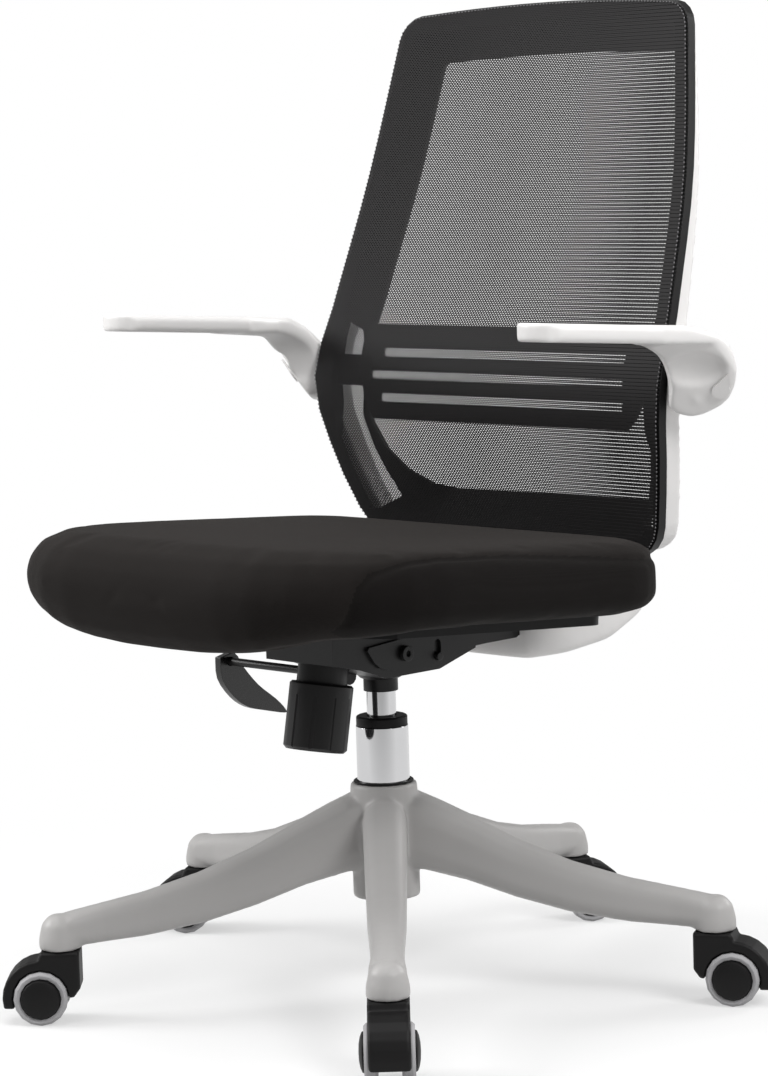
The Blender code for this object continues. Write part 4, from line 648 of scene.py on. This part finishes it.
@dataclass
class PivotCap:
    """The small teardrop cap over an arm's pivot pin, which stands a little proud of the moulding."""

    node: str
    lift: float = 0.0011
    edge: float = 0.0006

    def build(self, frame: dict, finishes: Finishes) -> bpy.types.Object:
        """Make the cap from its solid, raised along its outer face.

        Args:
            frame: The loaded frame.
            finishes: The chair's finishes.

        Returns:
            The cap.
        """
        cap = linked(f"{self.node}_cover", frame["nodes"][self.node].data.copy())
        side = 1.0 if cap.data.vertices[0].co.x > 0 else -1.0
        outward = Vector((side, -1.0, 0.0))
        face = max(cap.data.polygons, key=lambda polygon: polygon.area * polygon.normal.dot(outward))
        cap.data.transform(Matrix.Translation(face.normal * self.lift))
        dress(cap, finishes["white_moulding"])
        smoothed(cap.data, SHARP_ANGLE)
        ease = cap.modifiers.new("ease", "BEVEL")
        ease.width = self.edge
        ease.segments = 3
        settled(cap)
        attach(cap, frame["nodes"][self.node]["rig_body"])
        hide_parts(self.node)
        return cap


@dataclass
class PaintedShadeRing:
    """A thin black ring on the hub, around the column: painted shade that stands for the dark recess of the
    hub's bore.
    """

    axis: Vector
    bore: float = 0.0253
    radius: float = 0.0284
    height: float = 0.0014
    edge: float = 0.0005
    gap: float = 0.0002
    sides: int = 64

    def build(self, finishes: Finishes) -> bpy.types.Object:
        """Turn the ring on top of the hub.

        Args:
            finishes: The chair's finishes.

        Returns:
            The ring.
        """
        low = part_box("base")[1].z + self.gap
        high = low + self.height
        profile = [
            (self.bore, low),
            (self.radius, low),
            (self.radius, high - self.edge),
            (self.radius - self.edge, high),
            (self.bore, high),
        ]
        work = bmesh.new()
        rings = []
        for step in range(self.sides):
            angle = math.tau * step / self.sides
            spoke = Vector((math.cos(angle), math.sin(angle), 0.0))
            points = [self.axis + spoke * reach + Vector((0, 0, z)) for reach, z in profile]
            rings.append([work.verts.new(point) for point in points])
        for ring, after in zip(rings, rings[1:] + rings[:1]):
            for index in range(len(profile)):
                onward = (index + 1) % len(profile)
                work.faces.new((ring[index], after[index], after[onward], ring[onward]))
        bmesh.ops.recalc_face_normals(work, faces=work.faces)
        mesh = bpy.data.meshes.new("column_painted_shade_ring")
        work.to_mesh(mesh)
        work.free()
        smoothed(mesh, 40.0)
        ring = linked("column_painted_shade_ring", mesh)
        # The black of this ring is painted shade for the dark recess where the column enters the hub.
        dress(ring, finishes["black_moulding"])
        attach(ring, Bodies.BASE.value)
        return ring


@dataclass
class SeatCushion:
    """The foam seat in its sewn cover: a top panel that rolls over the front, and two side panels."""

    axis: Vector
    voxel: float = 0.005
    shrink: float = 0.0012
    pressure: float = 3.0
    swell: float = 0.0018
    frames: int = 20
    stiffness: float = 30.0
    bending: float = 4.0
    seam_width: float = 0.0045
    seam_depth: float = 0.0022
    seam_step: float = 0.002
    side_reach: float = 0.19
    rear_start: float = 0.10
    seam: tuple[tuple[float, float, float], ...] = (
        (0.212, -0.248, 0.385),
        (0.2127, -0.2443, 0.4023),
        (0.2145, -0.2421, 0.4124),
        (0.2148, -0.2373, 0.4221),
        (0.2170, -0.2247, 0.4319),
        (0.2217, -0.2075, 0.4363),
        (0.2251, -0.1842, 0.4392),
        (0.2283, -0.1517, 0.4394),
        (0.2329, -0.0553, 0.4320),
        (0.2395, 0.0433, 0.4202),
        (0.2369, 0.1152, 0.4096),
        (0.200, 0.155, 0.4060),
        (0.100, 0.163, 0.4050),
        (0.0, 0.164, 0.4050),
    )

    def build(self, frame: dict, finishes: Finishes) -> bpy.types.Object:
        """Make the cushion, swell its cover and sew its seams.

        Args:
            frame: The loaded frame.
            finishes: The chair's finishes.

        Returns:
            The cushion.
        """
        cushion = linked("seat_pad", frame["nodes"]["seat_cushion"].data.copy())
        remesh = cushion.modifiers.new("even", "REMESH")
        remesh.mode = "VOXEL"
        remesh.voxel_size = self.voxel
        soften = cushion.modifiers.new("soften", "SMOOTH")
        soften.iterations = 6
        settled(cushion)
        self.swell_cover(cushion)
        cushion.modifiers.new("fine", "SUBSURF").render_levels = 1
        cushion.modifiers["fine"].levels = 1
        settled(cushion)
        dress(cushion, finishes["seat_top_cloth"], finishes["seat_side_cloth"])
        self.sew(cushion)
        cushion.data.shade_smooth()
        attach(cushion, Bodies.SEAT.value)
        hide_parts("seat_cushion")
        return cushion

    def swell_cover(self, cushion: bpy.types.Object) -> None:
        """Press the cover out with a short cloth run, and keep each point near its start.

        Args:
            cushion: The remeshed cushion.
        """
        mesh = cushion.data
        start = [vertex.co.copy() for vertex in mesh.vertices]
        for vertex in mesh.vertices:
            vertex.co = vertex.co - vertex.normal * self.shrink
        cloth = cushion.modifiers.new("cover", "CLOTH")
        cloth.settings.quality = 4
        cloth.settings.use_pressure = True
        cloth.settings.uniform_pressure_force = self.pressure
        cloth.settings.tension_stiffness = self.stiffness
        cloth.settings.compression_stiffness = self.stiffness
        cloth.settings.bending_stiffness = self.bending
        cloth.settings.effector_weights.gravity = 0.0
        cloth.point_cache.frame_start = 1
        cloth.point_cache.frame_end = self.frames
        scene = bpy.context.scene
        for number in range(1, self.frames + 1):
            scene.frame_set(number)
        settled(cushion)
        scene.frame_set(1)
        for vertex, place in zip(cushion.data.vertices, start):
            step = vertex.co - place
            if step.length > self.swell:
                vertex.co = place + step.normalized() * self.swell

    def seam_points(self) -> list[Vector]:
        """Return close points along the sewn line, on both sides of the seat."""
        path = [Vector(point) + self.axis for point in self.seam]
        points = []
        for first, second in zip(path, path[1:]):
            steps = max(int((second - first).length / self.seam_step), 1)
            points += [first.lerp(second, step / steps) for step in range(steps)]
        mirrored = [Vector((2 * self.axis.x - point.x, point.y, point.z)) for point in points]
        return points + mirrored

    def sew(self, cushion: bpy.types.Object) -> None:
        """Draw the cover in along the seams and part the side cloth from the top cloth.

        Args:
            cushion: The cushion, with two material slots.
        """
        mesh = cushion.data
        tree = BVHTree.FromPolygons(
            [vertex.co for vertex in mesh.vertices], [polygon.vertices for polygon in mesh.polygons]
        )
        line = [tree.find_nearest(point)[0] for point in self.seam_points()]
        near = KDTree(len(line))
        for index, point in enumerate(line):
            near.insert(point, index)
        near.balance()
        moves = []
        for vertex in mesh.vertices:
            distance = near.find(vertex.co)[2]
            moves.append(self.seam_depth * math.exp(-((distance / self.seam_width) ** 2)))
        for vertex, move in zip(mesh.vertices, moves):
            if move > LEAST_MOVE:
                vertex.co = vertex.co - vertex.normal * move
        for polygon in mesh.polygons:
            polygon.material_index = 1 if self.is_side(polygon.center) else 0

    def is_side(self, point: Vector) -> bool:
        """Return whether a point is on a side or rear panel.

        Args:
            point: The point, in world coordinates.

        Returns:
            True where it lies below the sewn line.
        """
        x, y, z = abs(point.x - self.axis.x), point.y - self.axis.y, point.z
        path = self.seam
        if y < path[0][1]:
            return False
        for low, high in zip(path, path[1:]):
            if low[1] <= y <= high[1]:
                share = (y - low[1]) / max(high[1] - low[1], 1e-6)
                edge = low[2] + (high[2] - low[2]) * share
                return z < edge and (x > self.side_reach or y > self.rear_start)
        return z < path[-1][2]


@dataclass
class MeshBack:
    """The stretched mesh on the back frame, with the stitched edge that holds it."""

    front: float = -0.3
    stitch_pitch: float = 0.0042
    stitch_length: float = 0.0024
    stitch_radius: float = 0.0007
    stitch_lift: float = 0.0006

    def build(self, frame: dict, finishes: Finishes) -> list[bpy.types.Object]:
        """Make the sheet and its stitches.

        Args:
            frame: The loaded frame.
            finishes: The chair's finishes.

        Returns:
            The sheet and the row of stitches.
        """
        sheet = self.sheet(frame, finishes)
        stitches = self.stitches(sheet, finishes)
        return [sheet, stitches]

    def sheet(self, frame: dict, finishes: Finishes) -> bpy.types.Object:
        """Return the mesh as one layer, from the front of its solid.

        Args:
            frame: The loaded frame.
            finishes: The chair's finishes.

        Returns:
            The sheet.
        """
        work = bmesh.new()
        work.from_mesh(frame["nodes"]["back_mesh"].data)
        bmesh.ops.remove_doubles(work, verts=work.verts, dist=WELD_GAP)
        work.normal_update()
        hidden = [face for face in work.faces if face.normal.y > self.front]
        bmesh.ops.delete(work, geom=hidden, context="FACES")
        area = sum(face.calc_area() for face in work.faces)
        mesh = bpy.data.meshes.new("back_sheet")
        work.to_mesh(mesh)
        work.free()
        sheet = linked("back_sheet", mesh)
        mesh.shade_smooth()
        dress(sheet, finishes["open_weave"])
        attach(sheet, Bodies.BACK.value)
        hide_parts("back_mesh")
        return sheet

    def edge_loop(self, sheet: bpy.types.Object) -> list[Vector]:
        """Return the sheet's border as points in order."""
        work = bmesh.new()
        work.from_mesh(sheet.data)
        border = {edge for edge in work.edges if edge.is_boundary}
        start = next(iter(sorted(border, key=lambda edge: edge.index)))
        vertex, points = start.verts[0], []
        while border:
            onward = [edge for edge in vertex.link_edges if edge in border]
            if not onward:
                break
            points.append(vertex.co.copy())
            border.remove(onward[0])
            vertex = onward[0].other_vert(vertex)
        work.free()
        return points

    def stitches(self, sheet: bpy.types.Object, finishes: Finishes) -> bpy.types.Object:
        """Sew a row of short stitches along the sheet's border.

        Args:
            sheet: The sheet.
            finishes: The chair's finishes.

        Returns:
            The stitches, as one piece.
        """
        loop = self.edge_loop(sheet)
        size = Matrix.Diagonal((self.stitch_length / 2, self.stitch_radius, self.stitch_radius, 1.0))
        lift = Vector((0.0, -self.stitch_lift, 0.0))
        work = bmesh.new()
        spare = 0.0
        for first, second in zip(loop, loop[1:] + loop[:1]):
            run = second - first
            spare += run.length
            while spare >= self.stitch_pitch:
                spare -= self.stitch_pitch
                middle = second - run.normalized() * spare
                turn = run.to_track_quat("X", "Z").to_matrix().to_4x4()
                place = Matrix.Translation(middle + lift) @ turn @ size
                bmesh.ops.create_icosphere(work, subdivisions=1, radius=1.0, matrix=place)
        mesh = bpy.data.meshes.new("edge_stitches")
        work.to_mesh(mesh)
        work.free()
        mesh.shade_smooth()
        row = linked("edge_stitches", mesh)
        dress(row, finishes["edge_thread"])
        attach(row, Bodies.BACK.value)
        return row


@dataclass(frozen=True)
class Lamp:
    """One soft square lamp that faces the chair, with its sides in metres and its power in watts."""

    name: str
    place: tuple[float, float, float]
    size: float
    power: float
    aim_height: float = 0.5

    def hang(self) -> None:
        """Hang the lamp, turned toward the chair's middle."""
        light = bpy.data.lights.new(self.name, "AREA")
        light.size = self.size
        light.energy = self.power
        item = bpy.data.objects.new(self.name, light)
        bpy.context.scene.collection.objects.link(item)
        item.location = self.place
        toward = Vector((0.0, 0.0, self.aim_height)) - Vector(self.place)
        item.rotation_euler = toward.to_track_quat("-Z", "Y").to_euler()


@dataclass
class Studio:
    """The pale floor, the soft lamps and the camera of the photograph."""

    axis: Vector
    eye: tuple[float, float, float] = (2.26274, -2.26274, 0.79326)
    turn: float = math.radians(45.0)
    pitch: float = math.radians(6.523)
    yaw: float = math.radians(-0.129)
    roll: float = math.radians(-1.714)
    lens: float = 115.08
    sensor: float = 36.0
    floor_radius: float = 9.0
    floor_lit: float = 0.54
    floor_seen: float = 0.87
    shadow_start: float = 0.28
    shadow_end: float = 0.95
    shadow_fade: float = 0.5
    mirror_near: float = 0.9
    mirror_far: float = 0.5
    mirror_start: float = 0.9
    mirror_end: float = 2.6
    air_level: float = 0.30
    lamps: tuple[Lamp, ...] = (
        Lamp("key_lamp", (-0.1, -0.5, 2.7), 2.2, 42.0, 0.4),
        Lamp("left_lamp", (-2.1, -1.7, 1.7), 1.2, 58.0),
        Lamp("right_lamp", (2.4, -0.2, 2.2), 1.2, 46.0),
        Lamp("rear_lamp", (0.9, 2.6, 1.6), 1.0, 26.0),
    )

    def camera(self) -> bpy.types.Object:
        """Set the camera at the photograph's viewing angle and return it."""
        right = Vector((math.cos(self.turn), math.sin(self.turn), 0.0))
        forward = Vector((-math.sin(self.turn), math.cos(self.turn), 0.0))
        look = right * (-math.sin(self.yaw) * math.cos(self.pitch))
        look += forward * (math.cos(self.yaw) * math.cos(self.pitch))
        look.z = -math.sin(self.pitch)
        lens = bpy.data.cameras.new("photo_camera")
        lens.lens = self.lens
        lens.sensor_width = self.sensor
        camera = bpy.data.objects.new("photo_camera", lens)
        bpy.context.scene.collection.objects.link(camera)
        aim = look.to_track_quat("-Z", "Y").to_matrix().to_4x4()
        place = Matrix.Translation(Vector(self.eye) + self.axis)
        camera.matrix_world = place @ aim @ Matrix.Rotation(self.roll, 4, "Z")
        bpy.context.scene.camera = camera
        return camera

    def floor(self) -> bpy.types.Object:
        """Lay the pale floor, which keeps the chair's shadow, and return it."""
        work = bmesh.new()
        bmesh.ops.create_circle(work, cap_ends=True, segments=96, radius=self.floor_radius)
        mesh = bpy.data.meshes.new("studio_floor")
        work.to_mesh(mesh)
        work.free()
        floor = linked("studio_floor", mesh)
        graph = Graph("pale_floor")
        path = graph.add("ShaderNodeLightPath")
        camera_ray = path.outputs["Is Camera Ray"]
        graph.tint((self.floor_lit,) * 3, (self.floor_seen,) * 3, camera_ray)
        graph.set(Roughness=0.9, Specular_IOR_Level=0.1)
        axes = graph.add("ShaderNodeSeparateXYZ", Vector=graph.place())
        toward = graph.math("SUBTRACT", axes.outputs[0], axes.outputs[1])
        front = graph.add("ShaderNodeMapRange", Value=toward)
        front.inputs["From Min"].default_value = self.mirror_start
        front.inputs["From Max"].default_value = self.mirror_end
        front.inputs["To Min"].default_value = self.mirror_near
        front.inputs["To Max"].default_value = self.mirror_far
        reach = graph.add("ShaderNodeVectorMath")
        reach.operation = "LENGTH"
        graph.feed(reach.inputs[0], graph.place())
        fade = graph.add("ShaderNodeMapRange", Value=reach.outputs[1], To_Min=self.shadow_fade)
        fade.inputs["From Min"].default_value = self.shadow_start
        fade.inputs["From Max"].default_value = self.shadow_end
        fade.interpolation_type = "SMOOTHSTEP"
        mirrored = graph.math("MAXIMUM", path.outputs["Is Glossy Ray"], path.outputs["Is Transmission Ray"])
        level = graph.math("MAXIMUM", camera_ray, front.outputs[0])
        white = graph.add("ShaderNodeEmission", Color=(1.0, 1.0, 1.0, 1.0), Strength=level)
        share = graph.math("MAXIMUM", graph.math("MULTIPLY", camera_ray, fade.outputs[0]), mirrored)
        mix = graph.add("ShaderNodeMixShader")
        graph.feed(mix.inputs[0], share)
        graph.feed(mix.inputs[1], graph.shader.outputs[0])
        graph.feed(mix.inputs[2], white.outputs[0])
        graph.feed(graph.tree.nodes["Material Output"].inputs[0], mix.outputs[0])
        dress(floor, graph.material)
        return floor

    def light(self) -> None:
        """Light the chair from above, from both sides and a little from behind."""
        for lamp in self.lamps:
            lamp.hang()
        world = bpy.data.worlds.new("studio_air")
        bpy.context.scene.world = world
        world.use_nodes = True
        tree = world.node_tree
        air = tree.nodes["Background"]
        path = tree.nodes.new("ShaderNodeLightPath")
        first = tree.nodes.new("ShaderNodeMath")
        first.operation = "MAXIMUM"
        tree.links.new(path.outputs["Is Camera Ray"], first.inputs[0])
        tree.links.new(path.outputs["Is Transmission Ray"], first.inputs[1])
        strength = tree.nodes.new("ShaderNodeMapRange")
        tree.links.new(first.outputs[0], strength.inputs["Value"])
        strength.inputs["To Min"].default_value = self.air_level
        strength.inputs["To Max"].default_value = 1.0
        air.inputs["Color"].default_value = (1.0, 1.0, 1.0, 1.0)
        tree.links.new(strength.outputs[0], air.inputs["Strength"])
        bpy.context.scene.view_settings.view_transform = "Standard"


def skins() -> Iterable[MouldedSkin]:
    """Return the mouldings whose edges are too round for their plain solids."""
    white, black = ("white_moulding", "white_plastic"), ("black_moulding", "black_plastic")
    yield MouldedSkin("base", "base_moulding", "white_plastic", voxel=0.0022, evening=8, rounding=4)
    for side in ("left", "right"):
        yield MouldedSkin(f"armrest_{side}", *white, voxel=0.0016, evening=8, rounding=3, softening=14)
    yield MouldedSkin(
        "back_frame", *white, voxel=0.0022, evening=8, rounding=2, softening=40, soft_zones=FOOT_ZONES,
        soft_axis=Axis.HEIGHT,
    )
    for number in range(1, 6):
        yield MouldedSkin(f"caster_{number}_housing", *black, voxel=0.0011, evening=6, rounding=3)


def main() -> None:
    """Build the dressed chair in order."""
    logging.basicConfig(level=logging.INFO, format="%(name)s: %(message)s")
    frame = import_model()
    low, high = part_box("lift_column")
    axis = Vector(((low.x + high.x) / 2, (low.y + high.y) / 2, 0.0))
    finishes = Finishes()
    LOG.info("dressed %d solids", Hardware().dress_nodes(frame, finishes))
    for skin in skins():
        piece = skin.build(frame, finishes)
        LOG.info("moulding %s has %d faces", piece.name, len(piece.data.polygons))
    for node in ("arm_cap_left", "arm_cap_right"):
        LOG.info("added %s", PivotCap(node).build(frame, finishes).name)
    # The hub's black ring is painted shade for the recess around the column.
    LOG.info("added %s", PaintedShadeRing(axis).build(finishes).name)
    cushion = SeatCushion(axis).build(frame, finishes)
    LOG.info("cushion %s has %d faces", cushion.name, len(cushion.data.polygons))
    for piece in MeshBack().build(frame, finishes):
        LOG.info("back piece %s has %d faces", piece.name, len(piece.data.polygons))
    studio = Studio(axis)
    studio.camera()
    studio.floor()
    studio.light()


if __name__ == "__main__":
    main()
